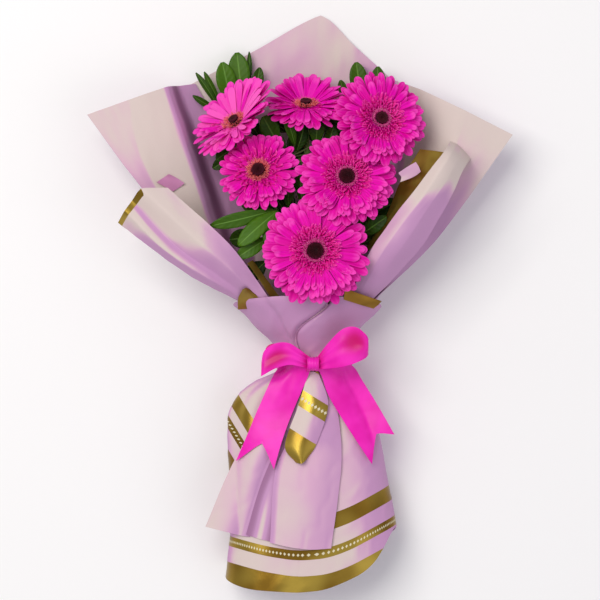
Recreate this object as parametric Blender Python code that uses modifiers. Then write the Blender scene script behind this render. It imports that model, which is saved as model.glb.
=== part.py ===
# A bouquet of six gerberas with leafy sprigs, wrapped in folded paper and tied with a ribbon bow.
# It lies on its back. +Y runs from the skirt of the wrap to the flower heads, +X is to the right
# of someone who looks down on the flowers, and +Z is up. The origin is the middle of its underside.

import math

import bmesh
import bpy
from mathutils import Vector

MM = 0.001

# Overall sizes of the wrap, in millimetres
SPREAD_WIDTH = 426.0  # tip to tip across the two side sheets
CROWN_LENGTH = 353.5  # from the ribbon to the peak of the back sheet
SKIRT_LENGTH = 229.5  # from the ribbon to the hem
HEAD_HEIGHT = 118.0  # from the surface to the petals of the front flower

# The neck, where everything is tied
NECK_WIDTH = 66.0
NECK_DEPTH = 54.0
NECK_X = 14.5
NECK_LIFT = 9.0  # height of the neck's underside above the surface
PAPER = 0.8  # thickness of the wrapping paper with its folds pressed flat
LAYER_STEP = 2.3  # from the middle of one paper layer to the next at the neck
CLEARANCE = 0.4  # between pieces that lie against each other
BEND_START = 8.0  # how far above the ribbon's middle stems and twigs start to spread
SPREAD_START = 0.35  # share of a stem's length over which it still runs straight up the neck
SPREAD_END = 0.17  # share of a stem's length over which it runs straight into its flower
TIE_DROP = 18.0  # from the ribbon's middle down to the tie round the stems

# The ribbon
RIBBON = 0.9
BAND_WIDTH = 12.0
BAND_EASE = 0.5  # how loosely the band goes round the paper
KNOT_SIZE = (23.0, 21.0, 24.0)

# The skirt
SKIRT_DEPTH = 78.0
SKIRT_PRESS = 7.0  # how much of the skirt's round underside is pressed flat
SKIRT_SQUARE = 2.5  # 2 is an ellipse, more is squarer
MOUTH_DEPTH = 94.0  # depth of the wrap where the crown opens, under the front flower
MOUTH_SINK = 6.5  # how much nearer the surface than the neck its back is there
SKIRT_START = 0.6  # how far under the ribbon's middle the skirt starts
SKIRT_FREE_Y = -70.0  # where the skirt leaves the neck, as drawn
TIED_SHARE = 0.1  # share of a panel's rows that stay on the neck
TAIL_LAYER = 3.2  # from the skirt to the long paper tails that lie on it
SHORT_TAIL_LAYER = 6.2  # from the skirt to the short paper tail
RIBBON_TAIL_LAYER = 9.7  # from the skirt to the ribbon's tails

# A gerbera, measured along its axis from the foot of the petals
RAY_THICKNESS = 3.0
RAY_WAVES = 15  # scallops round the edge of the ray petals
RAY_SCALLOP = 0.07  # half of a scallop's depth, as a share of the radius
FLORET_THICKNESS = 2.2
FLORET_RISE = 1.5
DISC_RADIUS = 8.5
DISC_HEIGHT = 6.4
FLORET_RADIUS = 26.0
CALYX_RADIUS = 12.5
CALYX_DEPTH = 14.0
CALYX_PROFILE = ((0.22, 0.62), (0.5, 0.86), (1.0, 1.0))  # shares of its depth and radius
STEM_RADIUS = 3.0
STEM_RING = 9.5  # radius of the ring of stems at the neck
STEM_TIED = 24.0  # from the ribbon's middle to where the stems part again
STEM_SPLAY = 1.3  # the ring of cut ends against the ring at the neck
STEM_REACH = 190.0  # from the ribbon to the cut ends

# Leafy sprigs
TWIG_RADIUS = 1.5
TWIG_RING = 16.5
TWIG_REACH = 100.0
LEAF_THICKNESS = 1.0
TIE_RADIUS = 1.2

# What the outlines below were drawn for
DRAWN_WIDTH = 426.0
DRAWN_CROWN = 353.5
DRAWN_SKIRT = 229.5
DRAWN_HEIGHT = 118.0
DRAWN_NECK_Y = -62.0

NECK_Y = (SKIRT_LENGTH - CROWN_LENGTH) / 2
NECK_Z = NECK_LIFT + NECK_DEPTH / 2

# Each flower: foot of its petals, the way it faces, its radius, how far the petals' tips rise
# above their feet along its axis, and its slot round the neck
FLOWERS = {
    "front": dict(at=(15, 50, 118), facing=(0, 0.1, 1), radius=54, cup=-1, slot=90),
    "middle_right": dict(at=(46, 123, 107), facing=(0.05, 0.35, 1), radius=49, cup=0, slot=30),
    "middle_left": dict(at=(-41, 130, 92), facing=(-0.2, 0.35, 1), radius=41, cup=1, slot=150),
    "right": dict(at=(80, 181, 99), facing=(0.3, 0.25, 1), radius=46, cup=1, slot=-30),
    "left": dict(at=(-65, 180, 62), facing=(-0.45, 0.68, 0.58), radius=45, cup=9, slot=210),
    "top": dict(at=(6, 198, 46), facing=(0, 0.9, 0.43), radius=39, cup=8, slot=270),
}

# Each sprig: where its leaves start, its slot round the neck, and its leaves' tips and widths
SPRIGS = {
    "far_left": dict(
        at=(-80, 197, 9),
        slot=226,
        leaves=[((-106, 233, 16), 11), ((-96, 237, 18), 10), ((-109, 203, 18), 12)],
    ),
    "upper_left": dict(
        at=(-58, 205, 6), slot=252, leaves=[((-74, 246, 11), 19), ((-58, 253, 8), 18), ((-41, 243, 10), 13)]
    ),
    "upper_right": dict(
        at=(62, 200, 12), slot=296, leaves=[((53, 245, 14), 15), ((82, 238, 24), 17), ((38, 228, 14), 12)]
    ),
    "under_left": dict(
        at=(-60, 132, 46), slot=194, leaves=[((-85, 156, 42), 15), ((-89, 138, 42), 14)]
    ),
    "centre": dict(
        at=(-12, 144, 56), slot=128, leaves=[((-37, 180, 48), 15), ((-9, 182, 44), 15), ((21, 176, 48), 14)]
    ),
    "inner": dict(
        at=(-4, 92, 78), slot=104, leaves=[((-14, 132, 84), 14), ((3, 134, 78), 12)]
    ),
    "lower_left": dict(
        at=(-33, 80, 92), slot=168, leaves=[((-88, 78, 92), 17), ((-63, 54, 88), 18), ((-62, 40, 84), 15)]
    ),
    "lower_right": dict(
        at=(50, 70, 84), slot=8, leaves=[((83, 76, 92), 15), ((80, 94, 84), 14)]
    ),
}


def setMaterial(name, colour, roughness):
    material = bpy.data.materials.new(name)
    material.use_nodes = True
    shader = material.node_tree.nodes["Principled BSDF"]
    shader.inputs["Base Color"].default_value = (*colour, 1)
    shader.inputs["Roughness"].default_value = roughness
    shader.inputs["Metallic"].default_value = 0
    return material


# Places and curves


def fitted(x, y, z):
    """A point of the drawn outlines, moved to where the wrap's own sizes put it."""
    stretch = CROWN_LENGTH / DRAWN_CROWN if y > DRAWN_NECK_Y else SKIRT_LENGTH / DRAWN_SKIRT
    return Vector(
        (
            x * SPREAD_WIDTH / DRAWN_WIDTH,
            NECK_Y + (y - DRAWN_NECK_Y) * stretch,
            z * HEAD_HEIGHT / DRAWN_HEIGHT,
        )
    )


def smooth(points, t):
    """The point at t, from 0 to 1, on an even Catmull-Rom curve through the points."""
    spans = len(points) - 1
    place = min(max(t, 0.0), 1.0) * spans
    i = min(int(place), spans - 1)
    f = place - i
    b = Vector(points[i])
    c = Vector(points[i + 1])
    a = Vector(points[i - 1]) if i else 2 * b - c
    d = Vector(points[i + 2]) if i + 2 <= spans else 2 * c - b
    bend = (2 * a - 5 * b + 4 * c - d) * f * f + (3 * b - a - 3 * c + d) * f**3
    return 0.5 * (2 * b + (c - a) * f + bend)


def reading(table, key):
    """Reads the values between two rows of a table whose first column rises."""
    low = table[0]
    for high in table[1:]:
        if key <= high[0]:
            f = min(max((key - low[0]) / (high[0] - low[0]), 0.0), 1.0)
            return [b + (c - b) * f for b, c in zip(low[1:], high[1:])]
        low = high
    return list(table[-1][1:])


def net(rows):
    """A surface through rows of points: u runs along each row, v from row to row."""
    return lambda u, v: smooth([smooth(row, u) for row in rows], v)


# Objects


def added(name, mesh, material):
    thing = bpy.data.objects.new(name, mesh)
    mesh.materials.clear()
    mesh.materials.append(material)
    bouquet.objects.link(thing)
    return thing


def solidified(thing, thickness):
    shell = thing.modifiers.new("thickness", "SOLIDIFY")
    shell.thickness = thickness * MM
    shell.offset = 0
    shell.use_even_offset = False
    return thing


def sheet(name, surface, across, along, thickness, material, ring=False):
    """A thin piece: a grid laid on a surface (u, v), made solid. ring joins its two long edges."""
    made = bmesh.new()
    bmesh.ops.create_grid(made, x_segments=across, y_segments=along, size=1)
    for vertex in made.verts:
        u = (vertex.co.x + 1) / 2
        v = (vertex.co.y + 1) / 2
        vertex.co = surface(u, v) * MM
    if ring:
        bmesh.ops.remove_doubles(made, verts=made.verts, dist=0.00002)
    bmesh.ops.recalc_face_normals(made, faces=made.faces)
    mesh = bpy.data.meshes.new(name)
    made.to_mesh(mesh)
    made.free()
    mesh.shade_smooth()
    return solidified(added(name, mesh, material), thickness)


def rod(name, points, radii, material, sides=2):
    """A tube along a line of points with a radius at each, its ends closed."""
    line = bpy.data.curves.new(name, "CURVE")
    line.dimensions = "3D"
    line.bevel_depth = MM
    line.bevel_resolution = sides
    line.use_fill_caps = True
    run = line.splines.new("POLY")
    run.points.add(len(points) - 1)
    for spot, place, radius in zip(run.points, points, radii):
        spot.co = (*(Vector(place) * MM), 1)
        spot.radius = radius
    return added(name, line, material)


def asMesh(thing):
    """A curve object made a mesh, with its caps welded on."""
    bpy.context.view_layer.update()
    seen = thing.evaluated_get(bpy.context.evaluated_depsgraph_get())
    mesh = bpy.data.meshes.new_from_object(seen)
    made = bmesh.new()
    made.from_mesh(mesh)
    bmesh.ops.remove_doubles(made, verts=made.verts, dist=0.00001)
    made.to_mesh(mesh)
    made.free()
    name = thing.name
    material = thing.data.materials[0]
    place = thing.matrix_world.copy()
    bpy.data.objects.remove(thing)
    solid = added(name, mesh, material)
    solid.matrix_world = place
    return solid


# The wrap is rings of paper, tight at the neck, wider above and below it. Each row has a drawn
# height, the width added to the neck's, how far the middle shifts, and shares of the added depth,
# of the sinking to the surface and of the squareness.
RINGS = [
    (-291.5, 109, -3, 1, 1, 1),
    (-230, 101, 0, 1, 1, 1),
    (-178, 93, -6, 0.97, 1, 1),
    (-134, 85, -11, 0.85, 1, 1),
    (-112, 76, -15.5, 0.65, 0.9, 1),
    (-92, 53, -14, 0.42, 0.6, 0.8),
    (-78, 27, -10, 0.15, 0.2, 0.4),
    (-69.5, 0, 0, 0, 0, 0),
    (-54, 0, 0, 0, 0, 0),
    (-40, 10, -3.5, 0.15, 0.15, 0),
    (-28, 29, -7, 0.4, 0.4, 0),
    (-11, 64, -5.5, 0.75, 0.8, 0),
    (3, 94, -10.5, 1, 1, 0),
]


def wrapRing(angle, y, layer=0.0):
    """A point on the ring of paper at the drawn height y: 90 degrees is the front, 270 the back."""
    widened, shifted, deeper, sunk, square = reading(RINGS, y)
    above = y > DRAWN_NECK_Y
    stretch = SPREAD_WIDTH / DRAWN_WIDTH
    wide = NECK_WIDTH + widened * stretch
    deep = NECK_DEPTH + ((MOUTH_DEPTH if above else SKIRT_DEPTH) - NECK_DEPTH) * deeper
    lift = NECK_LIFT - (MOUTH_SINK if above else NECK_LIFT + SKIRT_PRESS) * sunk
    power = 2 / (2 + (SKIRT_SQUARE - 2) * square)
    turn = math.radians(angle)
    c = math.copysign(abs(math.cos(turn)) ** power, math.cos(turn))
    s = math.copysign(abs(math.sin(turn)) ** power, math.sin(turn))
    return Vector(
        (
            NECK_X + shifted * stretch + (wide / 2 + layer) * c,
            fitted(0, y, 0).y,
            lift + deep / 2 + (deep / 2 + layer) * s,
        )
    )


def sector(start, end, y, layer=0.0, count=4):
    """count points round part of the ring."""
    step = (end - start) / (count - 1)
    return [wrapRing(start + step * i, y, layer) for i in range(count)]


# The rings that every sheet of the crown follows: drawn height, layer, share of its opening
CROWN_RINGS = [(-61.5, 0, 0), (-53, 0, 0), (-40, -1.2, 0.1), (-26, -3, 0.4), (-6, -5, 1)]
SPREAD_POWER = 2.5  # how strongly those layers follow the width of the wrap


def fan(start, end, outer, count=4, opened=(0, 0)):
    """A sheet that starts as part of the neck's ring and opens out through the outer rows."""
    # The wider the wrap spreads, the steeper its sheets leave the neck, so they start deeper
    deeper = max(SPREAD_WIDTH / DRAWN_WIDTH, 1) ** SPREAD_POWER
    rows = []
    for y, layer, share in CROWN_RINGS:
        rows.append(sector(start + opened[0] * share, end + opened[1] * share, y, layer * deeper, count))
    rows += [[fitted(*point) for point in row] for row in outer]
    return net(rows)


def pressed(surface):
    """The same surface, but pressed flat where it would reach below the ground."""

    def place(u, v):
        point = surface(u, v)
        point.z = max(point.z, PAPER / 2)
        return point

    return place


def makeCrown():
    back = [
        [(-60, 78, 0.2), (-20, 80, 0.2), (22, 80, 0.2), (45, 80, 0.2), (68, 78, 0.2)],
        [(-92, 156, 0.2), (-40, 172, 0.2), (20, 184, 0.2), (55, 176, 0.2), (84, 162, 0.2)],
        [(-112, 221, 0.2), (-45, 256, 0.2), (21, 291.5, 0.2), (57, 259, 0.2), (93, 227, 0.2)],
    ]
    sheet("back_sheet", pressed(fan(226, 314, back, 5)), 8, 12, PAPER, paperMaterial)
    left = [
        [(-108, 58, 64), (-94, 70, 40), (-75, 77, 20), (-52, 82, 5)],
        [(-160, 116, 76), (-136, 132, 50), (-106, 142, 26), (-72, 152, 5)],
        [(-213, 187, 62), (-180, 199, 40), (-145, 211, 20), (-106, 222, 5)],
    ]
    sheet("left_sheet", fan(154, 222, left), 6, 10, PAPER, paperMaterial)
    right = [
        [(58, 80, 5), (84, 70, 22), (104, 60, 44), (122, 46, 64)],
        [(68, 156, 5), (104, 138, 26), (132, 118, 52), (154, 84, 76)],
        [(56, 243, 5), (110, 218, 20), (162, 192, 42), (213, 167, 62)],
    ]
    sheet("right_sheet", fan(318, 386, right), 6, 10, PAPER, paperMaterial)
    leftFlap = [
        [(-96, 18, 92), (-84, 26, 108), (-72, 36, 112), (-60, 44, 106)],
        [(-140, 48, 98), (-124, 56, 117), (-106, 68, 120), (-90, 76, 112)],
        [(-180, 78, 100), (-168, 94, 120), (-156, 104, 122), (-130, 110, 114)],
    ]
    sheet("left_flap", fan(151, 92, leftFlap, opened=(0, 26)), 6, 10, PAPER, paperMaterial)
    rightFlap = [
        [(72, 54, 106), (86, 52, 112), (100, 50, 108), (112, 48, 94)],
        [(110, 106, 114), (120, 102, 118), (130, 98, 114), (140, 92, 100)],
        [(148, 156, 114), (154, 152, 118), (161, 146, 114), (167, 140, 104)],
    ]
    sheet("right_flap", fan(88, 29, rightFlap, opened=(-32, 0)), 6, 10, PAPER, paperMaterial)


# The drawn heights of the collar's rows
COLLAR_ROWS = (-61.5, -53, -40, -26, -12, -1)


def makeCollar():
    """The short sheet that wraps the front of the neck, in two halves that meet under the bow."""
    for name, start, end in (("collar_left", 186, 92), ("collar_right", 88, -6)):
        rows = [sector(start, end, y, LAYER_STEP) for y in COLLAR_ROWS]
        sheet(name, net(rows), 7, 7, PAPER, paperMaterial)


# The skirt below the ribbon

# The drawn height of the hem, by its angle round the skirt
HEM = [
    (-35, -238),
    (0, -226),
    (24, -228),
    (55, -268),
    (90, -291),
    (130, -288),
    (180, -277),
    (225, -268),
    (325, -250),
]


def skirtFront(x, y, layer):
    """A point over the front of the skirt at the drawn x and y, layer above its paper."""
    left = wrapRing(180, y)
    right = wrapRing(0, y)
    top = wrapRing(90, y)
    place = fitted(x, y, 0)
    half = (right.x - left.x) / 2
    share = min(abs(place.x - left.x - half) / half, 0.9)
    rise = (1 - share**SKIRT_SQUARE) ** (1 / SKIRT_SQUARE)
    place.z = left.z + (top.z - left.z) * rise + layer
    return place


def makeSkirt():
    panels = {
        "skirt_front": (56, 128),
        "skirt_left": (131, 206),
        "skirt_back": (209, 321),
        "skirt_right": (324, 413),
    }
    top = DRAWN_NECK_Y - SKIRT_START
    for name, (start, end) in panels.items():

        def surface(u, v, start=start, end=end):
            angle = start + (end - start) * u
            hem = reading(HEM, angle if angle <= 325 else angle - 360)[0]
            if v < TIED_SHARE:
                return wrapRing(angle, top + (SKIRT_FREE_Y - top) * v / TIED_SHARE)
            share = (v - TIED_SHARE) / (1 - TIED_SHARE)
            return wrapRing(angle, SKIRT_FREE_Y + (hem - SKIRT_FREE_Y) * share)

        sheet(name, pressed(surface), 8, 10, PAPER, paperMaterial)


def makeTails():
    """Long paper tails that come out of the tie and lie on the front of the skirt."""
    outlines = {
        "tail_left": [
            [(-8, -71), (0, -71), (9, -71)],
            [(-42, -120), (-22, -120), (-2, -120)],
            [(-69, -165.5), (-48, -166), (-27, -166)],
            [(-95, -225.5), (-72, -231), (-50, -235.5)],
        ],
        "tail_right": [
            [(11, -71), (20, -71), (30, -71)],
            [(0, -120), (18, -120), (39, -120)],
            [(-24, -166), (8, -166), (41, -166)],
            [(-30, -240.5), (0, -247), (31, -246)],
        ],
    }
    for name, rows in outlines.items():
        points = [[Vector((x, y, 0)) for x, y in row] for row in rows]
        flat = net(points)

        def surface(u, v, flat=flat):
            place = flat(u, v)
            return skirtFront(place.x, place.y, TAIL_LAYER)

        sheet(name, surface, 5, 9, PAPER, paperMaterial)


# The ribbon


def makeBand():
    """The ribbon round the neck, in two halves that meet behind the knot and at the back."""
    outer = LAYER_STEP + PAPER + RIBBON + CLEARANCE + BAND_EASE
    for name, start, end in (("band_left", 91, 269), ("band_right", -89, 89)):

        def surface(u, v, start=start, end=end):
            place = wrapRing(start + (end - start) * u, DRAWN_NECK_Y, outer)
            place.y = NECK_Y + BAND_WIDTH * (v - 0.5)
            return place

        sheet(name, surface, 12, 1, RIBBON, ribbonMaterial)


def makeKnot():
    made = bmesh.new()
    bmesh.ops.create_uvsphere(made, u_segments=14, v_segments=8, radius=1)
    layer = LAYER_STEP + PAPER + 2 * RIBBON + 2 * CLEARANCE + BAND_EASE
    lowest = wrapRing(90, DRAWN_NECK_Y, layer).z
    middle = Vector((NECK_X - 1, NECK_Y, lowest + KNOT_SIZE[2] / 2))
    for vertex in made.verts:
        half = [size / 2 * value for size, value in zip(KNOT_SIZE, vertex.co)]
        vertex.co = (Vector(half) + middle) * MM
    mesh = bpy.data.meshes.new("knot")
    made.to_mesh(mesh)
    made.free()
    mesh.shade_smooth()
    added("knot", mesh, ribbonMaterial)
    return middle


def makeLoops(knot):
    """Each loop is a strip that leaves the knot, turns over and comes back above itself."""
    # Each row is a place from the knot and the strip's width there
    loops = {
        "loop_left": [
            (-12.5, 0, 4, 12),
            (-30, 3, 4, 30),
            (-48, 3, 6, 33),
            (-53, 0, 14, 30),
            (-46, 2, 20, 33),
            (-28, 4, 19, 30),
            (-12.5, 1, 12, 14),
        ],
        "loop_right": [
            (12.5, 1, 4, 12),
            (28, 12, 9, 30),
            (46, 18, 12, 38),
            (54, 18, 20, 34),
            (46, 17, 27, 38),
            (28, 11, 24, 30),
            (12.5, 2, 13, 14),
        ],
    }
    for name, run in loops.items():
        line = [Vector((x, y, z)) for x, y, z, _ in run]
        widths = [Vector((wide, 0, 0)) for _, _, _, wide in run]

        def surface(u, v, line=line, widths=widths):
            place = smooth(line, u) + knot - Vector((0, 0, KNOT_SIZE[2] / 2 - 2))
            place.y += smooth(widths, u).x * (v - 0.5)
            return place

        sheet(name, surface, 14, 2, RIBBON, ribbonMaterial)


def makeRibbonTails():
    outlines = {
        "ribbon_tail_left": [
            [(-15, -73), (-5, -73), (6, -73)],
            [(-36, -105), (-22, -105), (-7, -105)],
            [(-52, -134), (-36, -132), (-17, -130)],
            [(-64, -158.5), (-41, -144), (-27, -165.5)],
        ],
        "ribbon_tail_right": [
            [(21, -74), (33, -73), (45, -69)],
            [(36, -99), (48, -94), (62, -86)],
            [(53, -130), (66, -118), (79, -109)],
            [(72, -161.5), (79, -136), (94, -132.5)],
        ],
        "paper_tail": [
            [(8.5, -74), (13, -74), (18, -74)],
            [(-2, -104.5), (13, -104), (28, -102.5)],
            [(-15, -143), (1, -143), (17, -140)],
            [(-4, -160), (2, -161), (7, -156)],
        ],
    }
    for name, rows in outlines.items():
        flat = net([[Vector((x, y, 0)) for x, y in row] for row in rows])
        isPaper = name == "paper_tail"
        layer = SHORT_TAIL_LAYER if isPaper else RIBBON_TAIL_LAYER

        def surface(u, v, flat=flat, layer=layer):
            place = flat(u, v)
            return skirtFront(place.x, place.y, layer)

        material = paperMaterial if isPaper else ribbonMaterial
        thickness = PAPER if isPaper else RIBBON
        sheet(name, surface, 4, 8, thickness, material)


# Flowers


def slotPoint(angle, radius, y):
    turn = math.radians(angle)
    return Vector((NECK_X + radius * math.cos(turn), y, NECK_Z + radius * math.sin(turn)))


def route(start, end, facing, count):
    """A smooth way from the neck, along +Y, to a place that it reaches along facing."""
    reach = (end - start).length
    a = start + Vector((0, reach * SPREAD_START, 0))
    b = end - facing * reach * SPREAD_END
    points = []
    for i in range(count):
        t = i / (count - 1)
        s = 1 - t
        points.append(start * s**3 + a * 3 * s * s * t + b * 3 * s * t * t + end * t**3)
    return points


def makeFlower(name, at, facing, radius, cup, slot):
    foot = fitted(*at)
    axis = Vector(facing).normalized()
    turned = Vector((0, 0, 1)).rotation_difference(axis)

    def placed(r, angle, height):
        return foot + turned @ Vector((r * math.cos(angle), r * math.sin(angle), height))

    rayMiddle = -CLEARANCE - RAY_THICKNESS / 2
    floretMiddle = FLORET_THICKNESS / 2 + CLEARANCE

    def raised(r):
        return cup * (max(r - DISC_RADIUS, 0) / (radius - DISC_RADIUS)) ** 2

    def rays(u, v):
        wave = 1 - RAY_SCALLOP + RAY_SCALLOP * math.cos(RAY_WAVES * 2 * math.pi * u)
        r = (DISC_RADIUS - 2) * (1 - v) + radius * wave * v
        return placed(r, 2 * math.pi * u, rayMiddle + raised(r))

    sheet(f"rays_{name}", rays, 2 * RAY_WAVES, 2, RAY_THICKNESS, rayMaterial, ring=True)

    def florets(u, v):
        r = DISC_RADIUS + CLEARANCE + 0.3 + (FLORET_RADIUS - DISC_RADIUS) * v
        return placed(r, 2 * math.pi * u, floretMiddle + FLORET_RISE * v + max(raised(r), 0))

    sheet(f"florets_{name}", florets, 20, 1, FLORET_THICKNESS, floretMaterial, ring=True)

    made = bmesh.new()
    bmesh.ops.create_uvsphere(made, u_segments=12, v_segments=6, radius=1)
    for vertex in made.verts:
        x, y, z = vertex.co
        local = Vector((x * DISC_RADIUS, y * DISC_RADIUS, (z + 1) * DISC_HEIGHT / 2 + 2 * CLEARANCE))
        vertex.co = (foot + turned @ local) * MM
    mesh = bpy.data.meshes.new(f"disc_{name}")
    made.to_mesh(mesh)
    made.free()
    mesh.shade_smooth()
    added(f"disc_{name}", mesh, discMaterial)

    top = rayMiddle - RAY_THICKNESS / 2 - CLEARANCE
    calyx = foot + axis * (top - CALYX_DEPTH)
    start = slotPoint(slot, STEM_RING, NECK_Y + BEND_START)
    cutEnd = slotPoint(slot, STEM_RING * STEM_SPLAY, NECK_Y - STEM_REACH)
    tied = slotPoint(slot, STEM_RING, NECK_Y - STEM_TIED)
    points = [cutEnd, tied] + route(start, calyx, axis, 11)
    radii = [STEM_RADIUS] * len(points)
    for share, wide in CALYX_PROFILE:
        points.append(calyx + axis * CALYX_DEPTH * share)
        radii.append(CALYX_RADIUS * wide)
    rod(f"stem_{name}", points, radii, stemMaterial)


# Foliage


def leafSurface(foot, tip, width):
    """A blade from foot to tip, widest past its middle and folded up a little along its rib."""
    run = tip - foot
    side = run.cross(Vector((0, 0, 1))).normalized()
    up = side.cross(run).normalized()

    def surface(u, v):
        half = width / 2 * (0.16 + 0.84 * math.sin(math.pi * min(v, 0.96) ** 1.35))
        across = 2 * u - 1
        lift = 0.18 * half * abs(across) + 0.05 * run.length * math.sin(math.pi * v)
        return foot + run * v + side * half * across + up * lift

    return surface


def makeSprig(name, at, slot, leaves):
    end = fitted(*at)
    heading = (end - slotPoint(slot, TWIG_RING, NECK_Y)).normalized()
    start = slotPoint(slot, TWIG_RING, NECK_Y + BEND_START)
    cutEnd = slotPoint(slot, TWIG_RING, NECK_Y - TWIG_REACH)
    points = [cutEnd] + route(start, end, heading, 8)
    twig = asMesh(rod(f"sprig_{name}", points, [TWIG_RADIUS] * len(points), leafMaterial, 1))
    joined = bpy.data.collections.new(f"leaves_{name}")
    cutters.children.link(joined)
    for i, (tip, width) in enumerate(leaves):
        foot = end - heading * (1.2 + 2.5 * i)
        surface = leafSurface(foot, fitted(*tip), width)
        blade = sheet(f"leaf_{name}_{i}", surface, 2, 4, LEAF_THICKNESS, leafMaterial)
        bouquet.objects.unlink(blade)
        joined.objects.link(blade)
        blade.hide_render = True
        blade.display_type = "WIRE"
    union = twig.modifiers.new("leaves", "BOOLEAN")
    union.operation = "UNION"
    union.operand_type = "COLLECTION"
    union.collection = joined
    union.solver = "EXACT"


def makeTie():
    """The band that holds the stems together just under the ribbon."""
    ring = TWIG_RING + TWIG_RADIUS + TIE_RADIUS + CLEARANCE
    bpy.ops.mesh.primitive_torus_add(
        major_segments=24,
        minor_segments=6,
        major_radius=ring * MM,
        minor_radius=TIE_RADIUS * MM,
        location=(NECK_X * MM, (NECK_Y - TIE_DROP) * MM, NECK_Z * MM),
        rotation=(math.pi / 2, 0, 0),
    )
    tie = bpy.context.object
    tie.name = "stem_tie"
    tie.data.materials.append(stemMaterial)
    tie.data.shade_smooth()
    for owner in tie.users_collection:
        owner.objects.unlink(tie)
    bouquet.objects.link(tie)


for old in list(bpy.data.objects):
    bpy.data.objects.remove(old)

bouquet = bpy.data.collections.new("wrapped_gerbera_bouquet")
cutters = bpy.data.collections.new("cutters")
bpy.context.scene.collection.children.link(bouquet)
bpy.context.scene.collection.children.link(cutters)

paperMaterial = setMaterial("paper", (0.62, 0.42, 0.50), 0.7)
ribbonMaterial = setMaterial("ribbon", (0.78, 0.01, 0.38), 0.35)
rayMaterial = setMaterial("rays", (0.80, 0.01, 0.36), 0.5)
floretMaterial = setMaterial("florets", (0.60, 0.01, 0.18), 0.6)
discMaterial = setMaterial("disc", (0.04, 0.01, 0.02), 0.8)
stemMaterial = setMaterial("stem", (0.22, 0.34, 0.10), 0.5)
leafMaterial = setMaterial("leaf", (0.05, 0.18, 0.04), 0.4)

makeCrown()
makeCollar()
makeSkirt()
makeTails()
makeBand()
makeLoops(makeKnot())
makeRibbonTails()
for flowerName, flower in FLOWERS.items():
    makeFlower(flowerName, **flower)
for sprigName, sprig in SPRIGS.items():
    makeSprig(sprigName, **sprig)
makeTie()
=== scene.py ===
import math
import random
from collections import Counter

import bpy
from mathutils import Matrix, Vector, noise


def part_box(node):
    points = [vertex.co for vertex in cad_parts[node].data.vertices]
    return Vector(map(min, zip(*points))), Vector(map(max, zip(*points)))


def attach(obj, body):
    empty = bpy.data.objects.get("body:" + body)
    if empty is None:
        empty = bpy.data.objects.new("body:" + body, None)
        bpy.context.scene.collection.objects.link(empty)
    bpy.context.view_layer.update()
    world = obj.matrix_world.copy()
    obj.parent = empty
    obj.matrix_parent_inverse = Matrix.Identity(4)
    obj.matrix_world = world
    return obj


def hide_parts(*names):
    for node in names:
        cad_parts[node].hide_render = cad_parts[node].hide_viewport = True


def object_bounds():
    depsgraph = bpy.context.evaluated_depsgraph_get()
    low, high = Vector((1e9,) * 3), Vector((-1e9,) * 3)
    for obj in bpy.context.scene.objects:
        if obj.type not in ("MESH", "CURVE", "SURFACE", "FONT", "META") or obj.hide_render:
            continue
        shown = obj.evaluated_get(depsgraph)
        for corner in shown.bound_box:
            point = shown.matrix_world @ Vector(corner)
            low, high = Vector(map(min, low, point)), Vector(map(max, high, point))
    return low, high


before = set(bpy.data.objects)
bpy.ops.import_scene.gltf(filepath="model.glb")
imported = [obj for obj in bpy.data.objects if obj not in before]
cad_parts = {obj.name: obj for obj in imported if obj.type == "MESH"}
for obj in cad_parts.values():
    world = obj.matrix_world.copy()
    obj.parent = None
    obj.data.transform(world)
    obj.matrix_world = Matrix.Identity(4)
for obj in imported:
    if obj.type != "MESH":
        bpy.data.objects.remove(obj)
cadBox = [list(corner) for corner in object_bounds()]
mm = 0.001  # everything below is drawn in millimetres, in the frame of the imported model
print("frame loaded:", len(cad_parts), "nodes")


# Nodes: a wire is one output, and sums of wires add Math nodes


class Wire:
    def __init__(self, finish, socket):
        self.finish = finish
        self.socket = socket

    def maths(self, operation, first, second=0.0):
        return self.finish.node("Math", {"operation": operation}, {0: first, 1: second})

    def __add__(self, other):
        return self.maths("ADD", self, other)

    def __radd__(self, other):
        return self.maths("ADD", other, self)

    def __sub__(self, other):
        return self.maths("SUBTRACT", self, other)

    def __rsub__(self, other):
        return self.maths("SUBTRACT", other, self)

    def __mul__(self, other):
        return self.maths("MULTIPLY", self, other)

    def __rmul__(self, other):
        return self.maths("MULTIPLY", other, self)

    def __gt__(self, other):
        return self.maths("GREATER_THAN", self, other)

    def __lt__(self, other):
        return self.maths("LESS_THAN", self, other)

    def __abs__(self):
        return self.maths("ABSOLUTE", self)


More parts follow.
